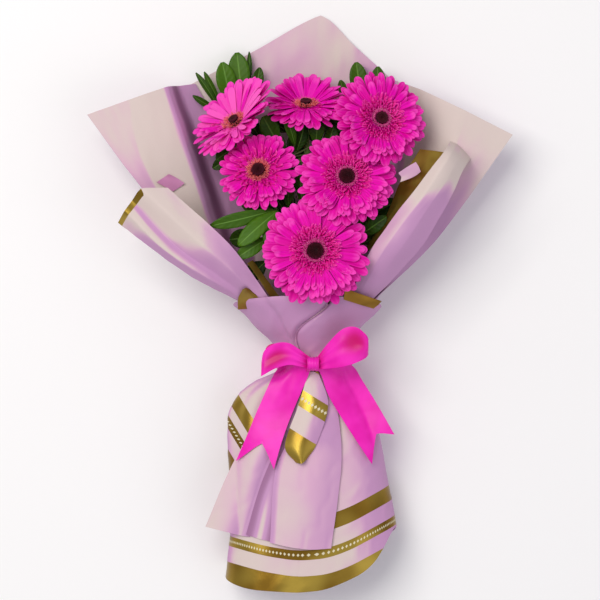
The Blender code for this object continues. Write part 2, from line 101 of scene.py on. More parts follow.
class Finish:
    def __init__(self, name, **uniform):
        self.material = bpy.data.materials.new(name)
        self.material.use_nodes = True
        self.tree = self.material.node_tree
        self.shader = self.tree.nodes["Principled BSDF"]
        for key, value in uniform.items():
            self.feed(self.shader.inputs[key.replace("_", " ")], value)

    def feed(self, socket, value):
        if isinstance(value, Wire):
            self.tree.links.new(value.socket, socket)
        elif isinstance(value, tuple) and len(value) == 3 and socket.type == "RGBA":
            socket.default_value = (*value, 1)
        else:
            socket.default_value = value

    # any node: its type, its settings, then the values or wires of its sockets
    def node(self, kind, settings=None, sockets=None, out=0):
        made = self.tree.nodes.new("ShaderNode" + kind)
        for key, value in (settings or {}).items():
            if key == "stops":
                ramp = made.color_ramp
                while len(ramp.elements) < len(value):
                    ramp.elements.new(1.0)
                for element, (place, colour) in zip(ramp.elements, value):
                    element.position = place
                    element.color = (*colour, 1)
            else:
                setattr(made, key, value)
        for key, value in (sockets or {}).items():
            self.feed(made.inputs[key], value)
        return Wire(self, made.outputs[out])

    def shade(self, **sockets):
        for key, value in sockets.items():
            self.feed(self.shader.inputs[key.replace("_", " ")], value)
        return self

    def blend(self, share, first, second):
        return self.node("Mix", {"data_type": "RGBA"}, {0: share, 6: first, 7: second}, out=2)

    def soft(self, value, low, high):
        settings = {"interpolation_type": "SMOOTHSTEP"}
        return self.node("MapRange", settings, {0: value, 1: low, 2: high, 3: 0.0, 4: 1.0})

    def mark(self, name):
        spot = self.node("Attribute", {"attribute_name": name}, out=1)
        return [self.node("SeparateXYZ", None, {0: spot}, out=i) for i in range(3)]

    def cloud(self, scale, detail=2.0, stretch=None):
        place = self.node("TexCoord", out=3)
        if stretch:
            place = self.node("Mapping", None, {0: place, 3: stretch})
        return self.node("TexNoise", None, {0: place, 2: scale, 3: detail})

    def bump(self, height, strength, distance):
        sockets = {0: strength, 1: distance, "Height": height}
        self.shade(Normal=self.node("Bump", None, sockets))


# Curves and meshes


def smooth(points, t):
    spans = len(points) - 1
    place = min(max(t, 0.0), 1.0) * spans
    i = min(int(place), spans - 1)
    f = place - i
    b = points[i]
    c = points[i + 1]
    a = points[i - 1] if i else 2 * b - c
    d = points[i + 2] if i + 2 <= spans else 2 * c - b
    start = 2 * b + (c - a) * f
    bend = (2 * a - 5 * b + 4 * c - d) * f * f
    twist = (3 * b - a - 3 * c + d) * f**3
    return 0.5 * (start + bend + twist)


def straight(points, t):
    spans = len(points) - 1
    place = min(max(t, 0.0), 1.0) * spans
    i = min(int(place), spans - 1)
    return points[i].lerp(points[i + 1], place - i)


def reading(table, key):
    low = table[0]
    for high in table[1:]:
        if key <= high[0]:
            f = min(max((key - low[0]) / (high[0] - low[0]), 0.0), 1.0)
            return [b + (c - b) * f for b, c in zip(low[1:], high[1:])]
        low = high
    return list(table[-1][1:])


def eased(x, low, high):
    f = min(max((x - low) / (high - low), 0.0), 1.0)
    return f * f * (3 - 2 * f)


def hump(x, middle, width):
    return math.exp(-(((x - middle) / width) ** 2))


def ringAt(middle, across, second, radius, count):
    turns = [2 * math.pi * k / count for k in range(count)]
    return [middle + (across * math.cos(turn) + second * math.sin(turn)) * radius for turn in turns]


def flatRows(rows):
    return [[Vector((x, y, 0)) for x, y in row] for row in rows]


class Parts:
    # gathers grids of points, each point with a mark of three numbers, then makes one mesh
    def __init__(self):
        self.points = []
        self.marks = []
        self.faces = []
        self.slots = []

    def grid(self, rows, marks, slot=0, ring=False, flip=False):
        first = len(self.points)
        wide = len(rows[0])
        for row, markRow in zip(rows, marks):
            self.points += row
            self.marks += markRow
        for j in range(len(rows) - 1):
            for i in range(wide if ring else wide - 1):
                a = first + j * wide + i
                b = first + j * wide + (i + 1) % wide
                face = (a, b, b + wide, a + wide)
                self.faces.append(face[::-1] if flip else face)
                self.slots.append(slot)
        return first

    def close(self, ringStart, wide, flip=False):
        face = tuple(range(ringStart, ringStart + wide))
        self.faces.append(face if flip else face[::-1])
        self.slots.append(0)

    def made(self, name, finishes, markName, thickness=0.0, inner=0, crisp=False):
        mesh = bpy.data.meshes.new(name)
        mesh.from_pydata([tuple(p * mm) for p in self.points], [], self.faces)
        for finish in finishes:
            mesh.materials.append(finish.material)
        mesh.polygons.foreach_set("material_index", self.slots)
        spot = mesh.attributes.new(markName, "FLOAT_VECTOR", "POINT")
        spot.data.foreach_set("vector", [x for mark in self.marks for x in mark])
        mesh.shade_smooth()
        mesh.update()
        if crisp:
            # a sharp outline, so that a sheet's shading doesn't roll over its edge
            used = Counter(key for face in mesh.polygons for key in face.edge_keys)
            for edge in mesh.edges:
                edge.use_edge_sharp = used[edge.key] == 1
        thing = bpy.data.objects.new(name, mesh)
        bpy.context.scene.collection.objects.link(thing)
        if thickness:
            shell = thing.modifiers.new("thickness", "SOLIDIFY")
            shell.thickness = thickness * mm
            shell.offset = 0.0
            shell.use_even_offset = False
            shell.material_offset = inner
        return thing


def placed(thing, slotName, *nodes):
    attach(thing, "root")
    if nodes:
        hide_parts(*nodes)
    return thing


# The ring of paper: tight at the neck, wider above it and below it

neck = {"x": 14.5, "y": -62.0, "width": 66.0, "depth": 54.0, "lift": 9.0, "mouthDepth": 94.0,
        "mouthSink": 6.5, "skirtDepth": 78.0, "skirtPress": 7.0, "square": 2.5}
neck["z"] = neck["lift"] + neck["depth"] / 2

# height along the wrap, added width, sideways shift, deeper, sunk, square
ringTable = [
    (-291.5, 109, -3, 1, 1, 1), (-230, 101, 0, 1, 1, 1), (-178, 93, -6, 0.97, 1, 1),
    (-134, 85, -11, 0.85, 1, 1), (-112, 76, -15.5, 0.65, 0.9, 1), (-92, 53, -14, 0.42, 0.6, 0.8),
    (-78, 27, -10, 0.15, 0.2, 0.4), (-69.5, 0, 0, 0, 0, 0), (-54, 0, 0, 0, 0, 0),
    (-40, 10, -3.5, 0.15, 0.15, 0), (-28, 29, -7, 0.4, 0.4, 0), (-11, 64, -5.5, 0.75, 0.8, 0),
    (3, 94, -10.5, 1, 1, 0),
]


def smoothReading(table, key, reach=5):
    # the mean of a few readings rounds the table's corners
    values = [reading(table, key + reach * step / 2) for step in (-2, -1, 0, 1, 2)]
    return [sum(column) / len(values) for column in zip(*values)]


def wrapRing(angle, y, layer=0.0):
    widened, shifted, deeper, sunk, square = smoothReading(ringTable, y)
    above = y > neck["y"]
    wide = neck["width"] + widened
    deep = neck["depth"] + ((neck["mouthDepth"] if above else neck["skirtDepth"]) - neck["depth"]) * deeper
    lift = neck["lift"] - (neck["mouthSink"] if above else neck["lift"] + neck["skirtPress"]) * sunk
    power = 2 / (2 + (neck["square"] - 2) * square)
    turn = math.radians(angle)
    c = math.copysign(abs(math.cos(turn)) ** power, math.cos(turn))
    s = math.copysign(abs(math.sin(turn)) ** power, math.sin(turn))
    x = neck["x"] + shifted + (wide / 2 + layer) * c
    return Vector((x, y, lift + deep / 2 + (deep / 2 + layer) * s))


# Finishes

paperTones = {"warm": (0.66, 0.555, 0.515), "pink": (0.70, 0.42, 0.565), "shadeLilac": (0.55, 0.29, 0.505),
              "deep": (0.20, 0.065, 0.155), "gold": (0.40, 0.28, 0.045), "goldDeep": (0.20, 0.11, 0.010),
              "dots": (0.72, 0.66, 0.46)}


def paperFinish(name, bands=(), shadeLilac=0.0, shifted=True):
    # bands: which number of the mark, from, to, whether a row of small diamonds runs along it,
    # and how far from the hem the band begins to show; if shifted, the mark's second number is
    # painted light and shade: it makes the paper look more or less lit there, and low values paint it dark
    paper = Finish(name, IOR=1.42, Specular_IOR_Level=0.35)
    marks = paper.mark("paperSpot")
    # painted light: the colour follows how the paper faces the key light, the shade tone where it turns away
    # (painted shade), pink between, and the warm tone where it faces the light (painted highlight)
    light = paper.node("NewGeometry", out=1)
    facing = paper.node("VectorMath", {"operation": "DOT_PRODUCT"}, {0: light, 1: (-0.42, 0.22, 0.88)}, out=1)
    if shifted:
        facing = facing + marks[1]
    patch = paper.cloud(7.0, 1.0)
    turned = paper.soft(facing + (patch - 0.5) * 0.3, 0.60 + shadeLilac, 0.96 + shadeLilac)
    tone = paper.blend(turned, paperTones["shadeLilac"], paperTones["pink"])
    paintedHighlight = paper.soft(facing + (paper.cloud(11.0, 1.0) - 0.5) * 0.34, 0.78 + shadeLilac, 0.99 + shadeLilac)
    tone = paper.blend(paintedHighlight, tone, paperTones["warm"])
    # painted shade: where the mark is low the paper is darkened towards the deep tone
    if shifted:
        tone = paper.blend(paper.soft(marks[1] * -1.0, 0.35, 0.95) * 0.8, tone, paperTones["deep"])
    gold = 0.0
    dots = 0.0
    for which, low, high, dotted, begin in bands:
        inside = (marks[which] > low) * (marks[which] < high)
        if begin:
            inside = inside * (marks[0] > begin)
        gold = gold + inside
        if dotted:
            along = paper.node("Math", {"operation": "PINGPONG"}, {0: marks[1], 1: 1.9})
            diamond = along * 1.1 + abs(marks[which] - (low + high) / 2) * 0.8
            dots = dots + inside * (diamond < 0.7 + (high - low) * 0.06)
    grain = paper.cloud(1300.0, 2.0)
    if bands:
        worn = paper.soft(paper.cloud(22.0, 1.0), 0.35, 0.7)
        gilding = paper.blend(worn, paperTones["goldDeep"], paperTones["gold"])
        tone = paper.blend(gold, tone, gilding)
        if isinstance(dots, Wire):
            tone = paper.blend(dots, tone, paperTones["dots"])
            gold = gold - dots
        paper.shade(Metallic=gold * 0.75, Roughness=0.6 - gold * 0.27)
    else:
        paper.shade(Roughness=0.52 + grain * 0.16)
    paper.shade(Base_Color=tone)
    paper.bump(grain * 0.25 + paper.cloud(150.0, 3.0), 0.22, 0.0006)
    return paper


def foilFinish(name, deep, light):
    foil = Finish(name, Metallic=0.8, IOR=1.5)
    worn = foil.soft(foil.cloud(30.0, 2.0), 0.3, 0.7)
    foil.shade(Base_Color=foil.blend(worn, deep, light))
    foil.shade(Roughness=0.3 + foil.cloud(60.0) * 0.16)
    foil.bump(foil.cloud(160.0, 3.0), 0.2, 0.0005)
    return foil


def satinFinish():
    satin = Finish("ribbonSatin", Specular_IOR_Level=0.3)
    along, depth = satin.mark("paperSpot")[1:]
    thread = satin.node("Math", {"operation": "SINE"}, {0: along * 14.0})
    slub = satin.cloud(45.0, 2.0)
    base = satin.blend(satin.soft(slub, 0.3, 0.75), (0.80, 0.004, 0.40), (0.93, 0.02, 0.52))
    # painted shade: where the mark's third number is high the satin is painted a deeper red, inside the
    # loops, in their hollows and on the knot's sides
    satin.shade(Base_Color=satin.blend(satin.soft(depth, 0.0, 1.0), base, (0.60, 0.0, 0.15)))
    satin.shade(Roughness=0.33 + slub * 0.12)
    satin.bump(thread * 0.15 + slub, 0.12, 0.0004)
    return satin


def rayFinish():
    ray = Finish("rayPetal", Specular_IOR_Level=0.12)
    along, across, chance = ray.mark("bloom")
    streak = ray.node("Math", {"operation": "SINE"}, {0: across * 7.0 + chance * 5.0})
    vein = ray.node("Math", {"operation": "SINE"}, {0: across * 21.0 + chance * 9.0})
    # darker at the foot: partly the petal's own colour, partly painted shade where the petals crowd into the
    # disc; the mark's third number lightens the body and carries the rows' painted light
    body = ray.blend(ray.soft(along, 0.0, 0.42), (0.52, 0.0, 0.14), (0.70, 0.0, 0.32))
    body = ray.blend(ray.soft(chance + streak * 0.16, 0.25, 1.1), body, (0.83, 0.0, 0.45))
    body = ray.blend(ray.soft(chance, 1.0, 1.7), body, (0.98, 0.13, 0.56))
    tip = ray.soft(along + streak * 0.03 + (chance - 0.5) * 0.12, 0.78, 1.02)
    colour = ray.blend(tip * 0.60, body, (0.97, 0.10, 0.56))
    edge = ray.soft(abs(across), 0.72, 1.05)
    colour = ray.blend(edge * 0.22, colour, (1.0, 0.05, 0.55))
    ray.shade(Base_Color=colour, Roughness=0.52 + vein * 0.04)
    ray.bump(vein * 0.4 + streak * 0.6, 0.30, 0.0006)
    return ray


def floretFinish(name, root, middle, end):
    tongue = Finish(name, Specular_IOR_Level=0.25, Roughness=0.5)
    along, chance = tongue.mark("bloom")[::2]
    colour = tongue.blend(tongue.soft(along, 0.0, 0.5), root, middle)
    colour = tongue.blend(tongue.soft(along + (chance - 0.5) * 0.3, 0.6, 1.05), colour, end)
    tongue.shade(Base_Color=colour)
    return tongue


def budFinish():
    bud = Finish("discBud", Specular_IOR_Level=0.2, Roughness=0.6)
    height, rim, chance = bud.mark("bloom")
    core = bud.blend(bud.soft(height, 0.5, 1.0), (0.008, 0.001, 0.002), (0.07, 0.004, 0.012))
    outer = bud.blend(bud.soft(height, 0.2, 1.0), (0.012, 0.0, 0.004), (0.075, 0.004, 0.02))
    bud.shade(Base_Color=bud.blend(bud.soft(rim + chance * 0.2, 0.80, 1.08), core, outer))
    return bud


def leafFinish():
    leaf = Finish("leafGreen", Specular_IOR_Level=0.16, Coat_Weight=0.02, Coat_Roughness=0.3)
    along, across, tone = leaf.mark("bloom")
    side = abs(across)
    ribs = leaf.node("Math", {"operation": "SINE"}, {0: along * 46.0 - side * 9.0})
    rib = 1 - leaf.soft(side, 0.02, 0.13)
    patchy = leaf.cloud(70.0, 3.0)
    # the mark's third number is partly the leaf's own tone and partly painted shade: leaves deep in the
    # bouquet are painted nearly black
    body = leaf.blend(tone, (0.006, 0.022, 0.002), (0.055, 0.15, 0.004))
    body = leaf.blend(leaf.soft(patchy + ribs * 0.05, 0.3, 0.8) * 0.35, body, (0.08, 0.175, 0.003))
    leaf.shade(Base_Color=leaf.blend(rib * 0.55, body, (0.17, 0.34, 0.06)))
    leaf.shade(Roughness=0.36 + patchy * 0.16)
    leaf.bump(ribs * 0.35 - rib * 1.2 + patchy * 0.3, 0.35, 0.0006)
    return leaf


def stemFinish():
    stem = Finish("stemGreen", Specular_IOR_Level=0.35)
    streaks = stem.cloud(160.0, 3.0, (1, 0.08, 1))
    pale = stem.mark("bloom")[2]
    body = stem.blend(streaks, (0.10, 0.19, 0.035), (0.30, 0.42, 0.10))
    stem.shade(Base_Color=stem.blend(stem.soft(pale, 0.5, 1.0), body, (0.50, 0.55, 0.30)), Roughness=0.55)
    stem.bump(streaks, 0.3, 0.0005)
    return stem


def twigFinish():
    twig = Finish("twigBark", Roughness=0.7)
    bark = twig.cloud(300.0, 3.0)
    twig.shade(Base_Color=twig.blend(bark, (0.05, 0.075, 0.02), (0.16, 0.17, 0.06)))
    twig.bump(bark, 0.4, 0.0005)
    return twig


def twineFinish():
    twine = Finish("twine", Roughness=0.85)
    twist = twine.cloud(500.0, 2.0)
    twine.shade(Base_Color=twine.blend(twist, (0.35, 0.26, 0.13), (0.62, 0.52, 0.33)))
    twine.bump(twist, 0.5, 0.0005)
    return twine


ray = rayFinish()
floret = floretFinish("innerFloret", (0.50, 0.0, 0.10), (0.74, 0.0, 0.26), (0.96, 0.07, 0.48))
filament = floretFinish("discFilament", (0.44, 0.0, 0.10), (0.70, 0.03, 0.26), (0.86, 0.22, 0.48))
warmFilament = floretFinish("warmFilament", (0.56, 0.02, 0.05), (0.86, 0.13, 0.13), (0.95, 0.34, 0.32))
bud = budFinish()
leaf = leafFinish()
stem = stemFinish()
twig = twigFinish()
satin = satinFinish()
foil = foilFinish("goldFoil", paperTones["goldDeep"], paperTones["gold"])
plainPaper = paperFinish("wrapPaper")
# painted shade: the inside of the wrap leans further to the shade tone
insidePaper = paperFinish("wrapInside", shadeLilac=0.25, shifted=False)
wrapPair = [plainPaper, insidePaper]
print("finishes made")


# Flowers

# rise is the petals' slope at the foot and the tip, and lean adds to it towards one side
flowerValues = {
    "front": {"facing": (0, 0.1, 1), "radius": 56.5, "rise": (2, -3), "lean": (0, 0), "slot": 90,
              "short": 1.0, "seed": 3, "disc": 7.4, "fringe": 12.4, "slim": 1.0, "frill": 1.0,
              "pale": 0, "full": 1.0},
    "middle_right": {"facing": (0.05, 0.35, 1), "radius": 52, "rise": (3, -2), "lean": (0, 0), "slot": 30,
                     "short": 0.9, "seed": 11, "disc": 7.0, "fringe": 11.3, "slim": 1.0, "frill": 0.9,
                     "pale": 0, "full": 1.0},
    "middle_left": {"facing": (-0.2, 0.35, 1), "radius": 43.5, "rise": (4, 0), "lean": (0, 0), "slot": 150,
                    "short": 0.3, "seed": 17, "disc": 5.8, "fringe": 13.8, "slim": 0.92, "frill": 0.3,
                    "pale": 0, "full": 0.82},
    "right": {"facing": (0.3, 0.25, 1), "radius": 49.5, "rise": (5, 0), "lean": (0, 0), "slot": -30,
              "short": 0.8, "seed": 23, "disc": 5.4, "fringe": 10.5, "slim": 0.95, "frill": 0.8,
              "pale": 0, "full": 1.0},
    "left": {"facing": (-0.45, 0.68, 0.58), "radius": 50, "rise": (24, 12), "lean": (35, 13), "slot": 210,
             "short": 0.1, "seed": 31, "disc": 4.2, "fringe": 15.0, "slim": 1.0, "frill": 0.2,
             "pale": 0.75, "full": 0.72},
    "top": {"facing": (0, 0.9, 0.43), "radius": 43, "rise": (16, 6), "lean": (90, 21), "slot": 270,
            "short": 0.0, "seed": 41, "disc": 4.6, "fringe": 14.0, "slim": 1.1, "frill": 0.15,
            "pale": 0.3, "full": 0.8},
}
petalRows = {
    # how many, share of the radius, half width, height of the foot, added rise, row's share of painted light
    # (higher rows are painted lighter)
    "back": (30, 1.0, 4.7, -3.2, -3, 0.2),
    "middle": (30, 0.96, 4.4, -2.2, 0, 0.4),
    "upper": (26, 0.83, 3.8, -1.2, 4, 0.55),
}
petalSteps = [0.0, 0.12, 0.26, 0.42, 0.58, 0.72, 0.83, 0.90, 0.95, 0.985, 1.0]
petalSides = [-1.0, -0.66, -0.33, 0.0, 0.33, 0.66, 1.0]
petalFoot = 6.5  # how far from the axis the petals start
shortFoot = 17.0  # and the short ones
# rings of the frill: share of the way out, how many, half width, slope
frillRings = [(0.0, 46, 0.60, 62), (0.2, 50, 0.70, 54), (0.4, 52, 0.85, 46), (0.6, 50, 1.0, 38),
              (0.8, 46, 1.15, 30), (1.0, 42, 1.3, 22)]
frillEdge = 26.0
threadCount = 340
budCount = 150
goldenAngle = 2.399963
stemValues = {"ring": 9.5, "thick": 3.0, "cupTop": 3.8, "cupTall": 14.0}
# rings of the cup's scales: how many, foot radius, height, length, half width, slope
cupScales = [(16, 5.0, 0.5, 8.0, 1.9, 62), (20, 8.0, 3.5, 8.5, 1.7, 70), (22, 10.2, 7.0, 6.8, 1.5, 76)]


def bentForm(profile, yaw=0, roll=0, trough=0.0, ridge=0.0, notch=0.0, dip=0):
    return {"profile": profile, "yaw": yaw, "roll": roll, "trough": trough, "ridge": ridge, "notch": notch,
            "dip": dip}


def ribbonOfRows(head, angle, footRadius, height, length, halfWidth, rise, steps, sides, form):
    # a strip that leaves the head's axis and bends in its own plane; form gives its cross-section
    rows = []
    r = footRadius
    h = height
    last = 0.0
    for s in steps:
        bend = math.radians(rise[0] + (rise[1] - rise[0]) * s + form["dip"] * s * s)
        r += (s - last) * length * math.cos(bend)
        h += (s - last) * length * math.sin(bend)
        last = s
        yaw = angle + form["yaw"] * s * s
        out = head["x"] * math.cos(yaw) + head["y"] * math.sin(yaw)
        side = head["y"] * math.cos(yaw) - head["x"] * math.sin(yaw)
        normal = head["z"] * math.cos(bend) - out * math.sin(bend)
        roll = form["roll"] * s
        over = side * math.cos(roll) + normal * math.sin(roll)
        up = normal * math.cos(roll) - side * math.sin(roll)
        wide = halfWidth * form["profile"](s)
        middle = head["foot"] + out * r + head["z"] * h
        row = []
        for t in sides:
            ribs = form["ridge"] * math.cos(3 * math.pi * t) * math.sin(math.pi * min(s + 0.1, 1))
            lift = form["trough"] * wide * t * t + ribs
            notch = form["notch"] * abs(t) * max(s - 0.9, 0) * 10
            row.append(middle + over * (t * wide) + up * lift - out * notch)
        rows.append(row)
    return rows


def petalProfile(s):
    body = 0.36 + 0.64 * math.sin(min(s / 0.80, 1.0) * math.pi / 2)
    if s > 0.83:
        body *= math.sqrt(max(1 - ((s - 0.83) / 0.174) ** 2, 0.0))
    return body


def tongueProfile(s):
    return 0.55 + 0.6 * s if s < 0.7 else (0.97 - 0.6 * (s - 0.7) / 0.3)


def threadProfile(s):
    return 1.05 - 0.7 * s


def scaleProfile(s):
    return math.sin(math.pi * (0.25 + 0.70 * s))


def headFrame(name, values):
    low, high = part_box("disc_" + name)
    axis = Vector(values["facing"]).normalized()
    turned = Vector((0, 0, 1)).rotation_difference(axis)
    foot = (low + high) / (2 * mm) - axis * 4.0
    return {"foot": foot, "z": axis, "x": turned @ Vector((1, 0, 0)), "y": turned @ Vector((0, 1, 0))}


def slotPoint(angle, radius, y):
    turn = math.radians(angle)
    return Vector((neck["x"] + radius * math.cos(turn), y, neck["z"] + radius * math.sin(turn)))


def route(start, end, facing, count):
    reach = (end - start).length
    a = start + Vector((0, reach * 0.35, 0))
    b = end - facing * reach * 0.17
    points = []
    for i in range(count):
        t = i / (count - 1)
        s = 1 - t
        points.append(start * s**3 + a * 3 * s * s * t + b * 3 * s * t * t + end * t**3)
    return points


def tube(parts, points, radii, sides, ribbing=0.0):
    # a tube whose section turns with the line as little as it can
    across = None
    rows = []
    marks = []
    for i, point in enumerate(points):
        ahead = points[min(i + 1, len(points) - 1)] - points[max(i - 1, 0)]
        ahead.normalize()
        if across is None:
            across = ahead.orthogonal().normalized()
        across = (across - ahead * across.dot(ahead)).normalized()
        second = ahead.cross(across)
        row = []
        for k in range(sides):
            turn = 2 * math.pi * k / sides
            wide = radii[i] * (1 + ribbing * math.cos(turn * sides / 2))
            row.append(point + across * wide * math.cos(turn) + second * wide * math.sin(turn))
        rows.append(row)
        marks.append([(i / len(points), 0.0, 0.0)] * sides)
    parts.grid(rows, marks, ring=True)
    for k in (0, len(points) - 1):
        cap = len(parts.points)
        parts.points += rows[k]
        parts.marks += [(0.0, 0.0, 1.0)] * sides
        parts.close(cap, sides, flip=k > 0)


def makeRays(name, head, values):
    chance = random.Random(values["seed"])
    parts = Parts()
    for count, share, halfWidth, height, added, light in petalRows.values():
        start = chance.random()
        count = round(count * values["full"])
        for i in range(count):
            angle = 2 * math.pi * (i + start + chance.uniform(-0.22, 0.22)) / count
            reach = values["radius"] * share - 7.0
            form = bentForm(petalProfile, yaw=chance.uniform(-0.07, 0.07), roll=chance.uniform(-0.42, 0.42),
                            trough=chance.uniform(0.05, 0.34), ridge=0.32, notch=0.35,
                            dip=chance.uniform(-9, 5))
            lean = values["lean"][1] * math.cos(angle - math.radians(values["lean"][0]))
            rise = (values["rise"][0] + added + lean + chance.uniform(-2.5, 2.5),
                    values["rise"][1] + added * 0.6 + lean + chance.uniform(-4, 4))
            length = reach * chance.uniform(0.88, 1.02) / math.cos(math.radians(sum(rise) / 2))
            scale = 0.4 + 0.6 * values["radius"] / 50
            wide = halfWidth * chance.uniform(0.84, 1.10) * values["slim"] * scale
            rows = ribbonOfRows(head, angle, petalFoot, height, length, wide, rise, petalSteps, petalSides,
                                form)
            # painted light: the row's share makes the higher rows lighter, on top of the head's own paleness
            # and a random tone
            tint = max(light + values["pale"] + chance.uniform(-0.3, 0.35), 0)
            marks = [[(s, t, tint) for t in petalSides] for s in petalSteps]
            parts.grid(rows, marks)
    # short petals, thickest on the side nearest the ribbon
    for _ in range(int(46 * values["short"])):
        angle = chance.gauss(-0.5 * math.pi, 0.85)
        share = chance.uniform(0.66, 0.86)
        form = bentForm(petalProfile, yaw=chance.uniform(-0.1, 0.1), roll=chance.uniform(-0.5, 0.5),
                        trough=chance.uniform(0.2, 0.6), ridge=0.22, notch=0.3, dip=chance.uniform(-8, 16))
        rise = (values["rise"][0] + chance.uniform(2, 10), values["rise"][1] + chance.uniform(6, 18))
        length = values["radius"] * share - shortFoot
        wide = chance.uniform(2.6, 3.6)
        rows = ribbonOfRows(head, angle, shortFoot, 0.4, length, wide, rise, petalSteps, petalSides, form)
        marks = [[(min(s * 1.08, 1.05), t, chance.uniform(0.55, 1.0)) for t in petalSides]
                 for s in petalSteps]
        parts.grid(rows, marks)
    thing = parts.made(name + "Rays", [ray], "bloom", thickness=0.35)
    return placed(thing, "petal", "rays_" + name)


def makeFlorets(name, head, values):
    chance = random.Random(values["seed"] + 100)
    parts = Parts()
    steps = [0.0, 0.3, 0.6, 0.85, 1.0]
    sides = [-1.0, 0.0, 1.0]
    inner = values["fringe"]
    for ring, (share, count, halfWidth, steep) in enumerate(frillRings):
        footRadius = inner * 0.86 + (frillEdge - inner) * 0.60 * share
        count = int(count * values["frill"])
        for i in range(count):
            angle = 2 * math.pi * (i + chance.uniform(-0.4, 0.4)) / count
            form = bentForm(tongueProfile, yaw=chance.uniform(-0.2, 0.2), roll=chance.uniform(-0.7, 0.7),
                            trough=0.5, notch=0.5, dip=chance.uniform(-10, 20))
            rise = (steep + chance.uniform(-10, 10), steep * 0.5 + chance.uniform(-12, 12))
            length = 4.6 + 3.4 * share + chance.uniform(-1, 1.4)
            wide = halfWidth * chance.uniform(0.7, 1.1)
            rows = ribbonOfRows(head, angle, footRadius, 0.6, length, wide, rise, steps, sides, form)
            marks = [[(s, t, chance.random() * 0.9 if ring else 0.9) for t in sides] for s in steps]
            parts.grid(rows, marks)
    # the fine threads between the disc and the frill
    steps = [0, 0.5, 1]
    sides = [-1, 1]
    for i in range(threadCount):
        angle = 2 * math.pi * (i + chance.uniform(-0.4, 0.4)) / threadCount * 7
        footRadius = values["disc"] - 0.5 + chance.uniform(0, max(inner - values["disc"] - 2.8, 1.5))
        form = bentForm(threadProfile, yaw=chance.uniform(-0.15, 0.15), roll=chance.uniform(-1, 1))
        steep = chance.uniform(30, 62)
        length = chance.uniform(2.6, 4.8)
        rise = (steep, steep - 10)
        rows = ribbonOfRows(head, angle, footRadius, 1.2, length, 0.24, rise, steps, sides, form)
        marks = [[(s, t, chance.random()) for t in sides] for s in steps]
        parts.grid(rows, marks, slot=1)
    threads = filament if values["frill"] > 0.5 else warmFilament
    thing = parts.made(name + "Florets", [floret, threads], "bloom", thickness=0.16)
    return placed(thing, "floret", "florets_" + name)


def makeDisc(name, head, values):
    chance = random.Random(values["seed"] + 200)
    parts = Parts()
    radius = values["disc"]

    def spot(r, angle, h):
        aside = head["x"] * (r * math.cos(angle))
        return head["foot"] + aside + head["y"] * (r * math.sin(angle)) + head["z"] * h

    def dome(r):
        # rounded, with a hollow at the middle
        return 2.2 + 3.2 * math.sqrt(max(1 - (r / (radius + 1.5)) ** 2, 0)) - 1.6 * hump(r, 0, 2.6)

    profile = [(radius + 1.2, -1.0), (radius + 1.4, 0.8), (radius, 2.0)]
    profile += [(radius * share, dome(radius * share) - 0.7) for share in (0.7, 0.35)]
    profile += [(0.4, dome(0) - 0.7)]
    rows = [[spot(r, 2 * math.pi * k / 24, h) for k in range(24)] for r, h in profile]
    first = parts.grid(rows, [[(0.0, r / radius, 0.0)] * 24 for r, h in profile], ring=True)
    parts.close(first, 24)
    parts.close(first + 24 * (len(profile) - 1), 24, flip=True)
    budRings = ((0, 0.9), (0.45, 1.15), (0.8, 0.8), (1.0, 0.25))  # share of the height, share of the width
    for i in range(budCount):
        share = math.sqrt((i + 0.5) / budCount)
        r = radius * share
        angle = i * goldenAngle
        size = (0.40 + 0.26 * share) * chance.uniform(0.85, 1.15)
        tall = (1.3 + 0.8 * share) * chance.uniform(0.8, 1.2)
        middle = spot(r, angle, dome(r) - 0.9)
        up = (head["z"] + (middle - head["foot"] - head["z"] * 3.0).normalized() * 0.5 * share).normalized()
        across = up.orthogonal().normalized()
        second = up.cross(across)
        rows = [ringAt(middle + up * (tall * s), across, second, size * wide, 6) for s, wide in budRings]
        tint = chance.random()
        begin = parts.grid(rows, [[(s, share, tint)] * 6 for s, _ in budRings], ring=True)
        parts.close(begin + 18, 6, flip=True)
        parts.close(begin, 6)
    thing = parts.made(name + "Disc", [bud], "bloom")
    return placed(thing, "disc", "disc_" + name)


def makeStem(name, head, values):
    chance = random.Random(values["seed"] + 300)
    parts = Parts()
    axis = head["z"]
    calyx = head["foot"] + axis * (-stemValues["cupTop"] - stemValues["cupTall"])
    start = slotPoint(values["slot"], stemValues["ring"], neck["y"] + 8)
    # below the tie the stems spread a little
    below = ((12.35, 190), (11.5, 120), (9.9, 60), (stemValues["ring"], 24))
    points = [slotPoint(values["slot"], radius, neck["y"] - drop) for radius, drop in below]
    points += route(start, calyx, axis, 18)
    tube(parts, points, [stemValues["thick"]] * len(points), 12, ribbing=0.05)
    # the green cup, and its overlapping scales
    cup = [(-1.0, 3.2), (1.0, 5.2), (4.0, 7.6), (8.0, 9.6), (11.5, 10.8), (13.6, 11.2)]
    around = 20
    rows = [ringAt(calyx + axis * h, head["x"], head["y"], wide, around) for h, wide in cup]
    marks = [[(h / stemValues["cupTall"], 0.0, 0.1)] * around for h, _ in cup]
    first = parts.grid(rows, marks, ring=True)
    parts.close(first, around)
    parts.close(first + around * (len(cup) - 1), around, flip=True)
    under = dict(head, foot=calyx)
    form = bentForm(scaleProfile, trough=-0.25)
    steps = [0, 0.35, 0.7, 1.0]
    sides = [-1, 0, 1]
    for count, footRadius, height, length, wide, steep in cupScales:
        rise = (steep, steep + 6)
        for i in range(count):
            angle = 2 * math.pi * (i + chance.uniform(-0.2, 0.2)) / count
            rows = ribbonOfRows(under, angle, footRadius, height, length, wide, rise, steps, sides, form)
            parts.grid(rows, [[(s, t, 0.3 * chance.random()) for t in sides] for s in steps])
    thing = parts.made(name + "Stem", [stem], "bloom")
    return placed(thing, "stem", "stem_" + name)


for flowerName, values in flowerValues.items():
    head = headFrame(flowerName, values)
    makeRays(flowerName, head, values)
    makeFlorets(flowerName, head, values)
    makeDisc(flowerName, head, values)
    makeStem(flowerName, head, values)
print("flowers made:", len(flowerValues))
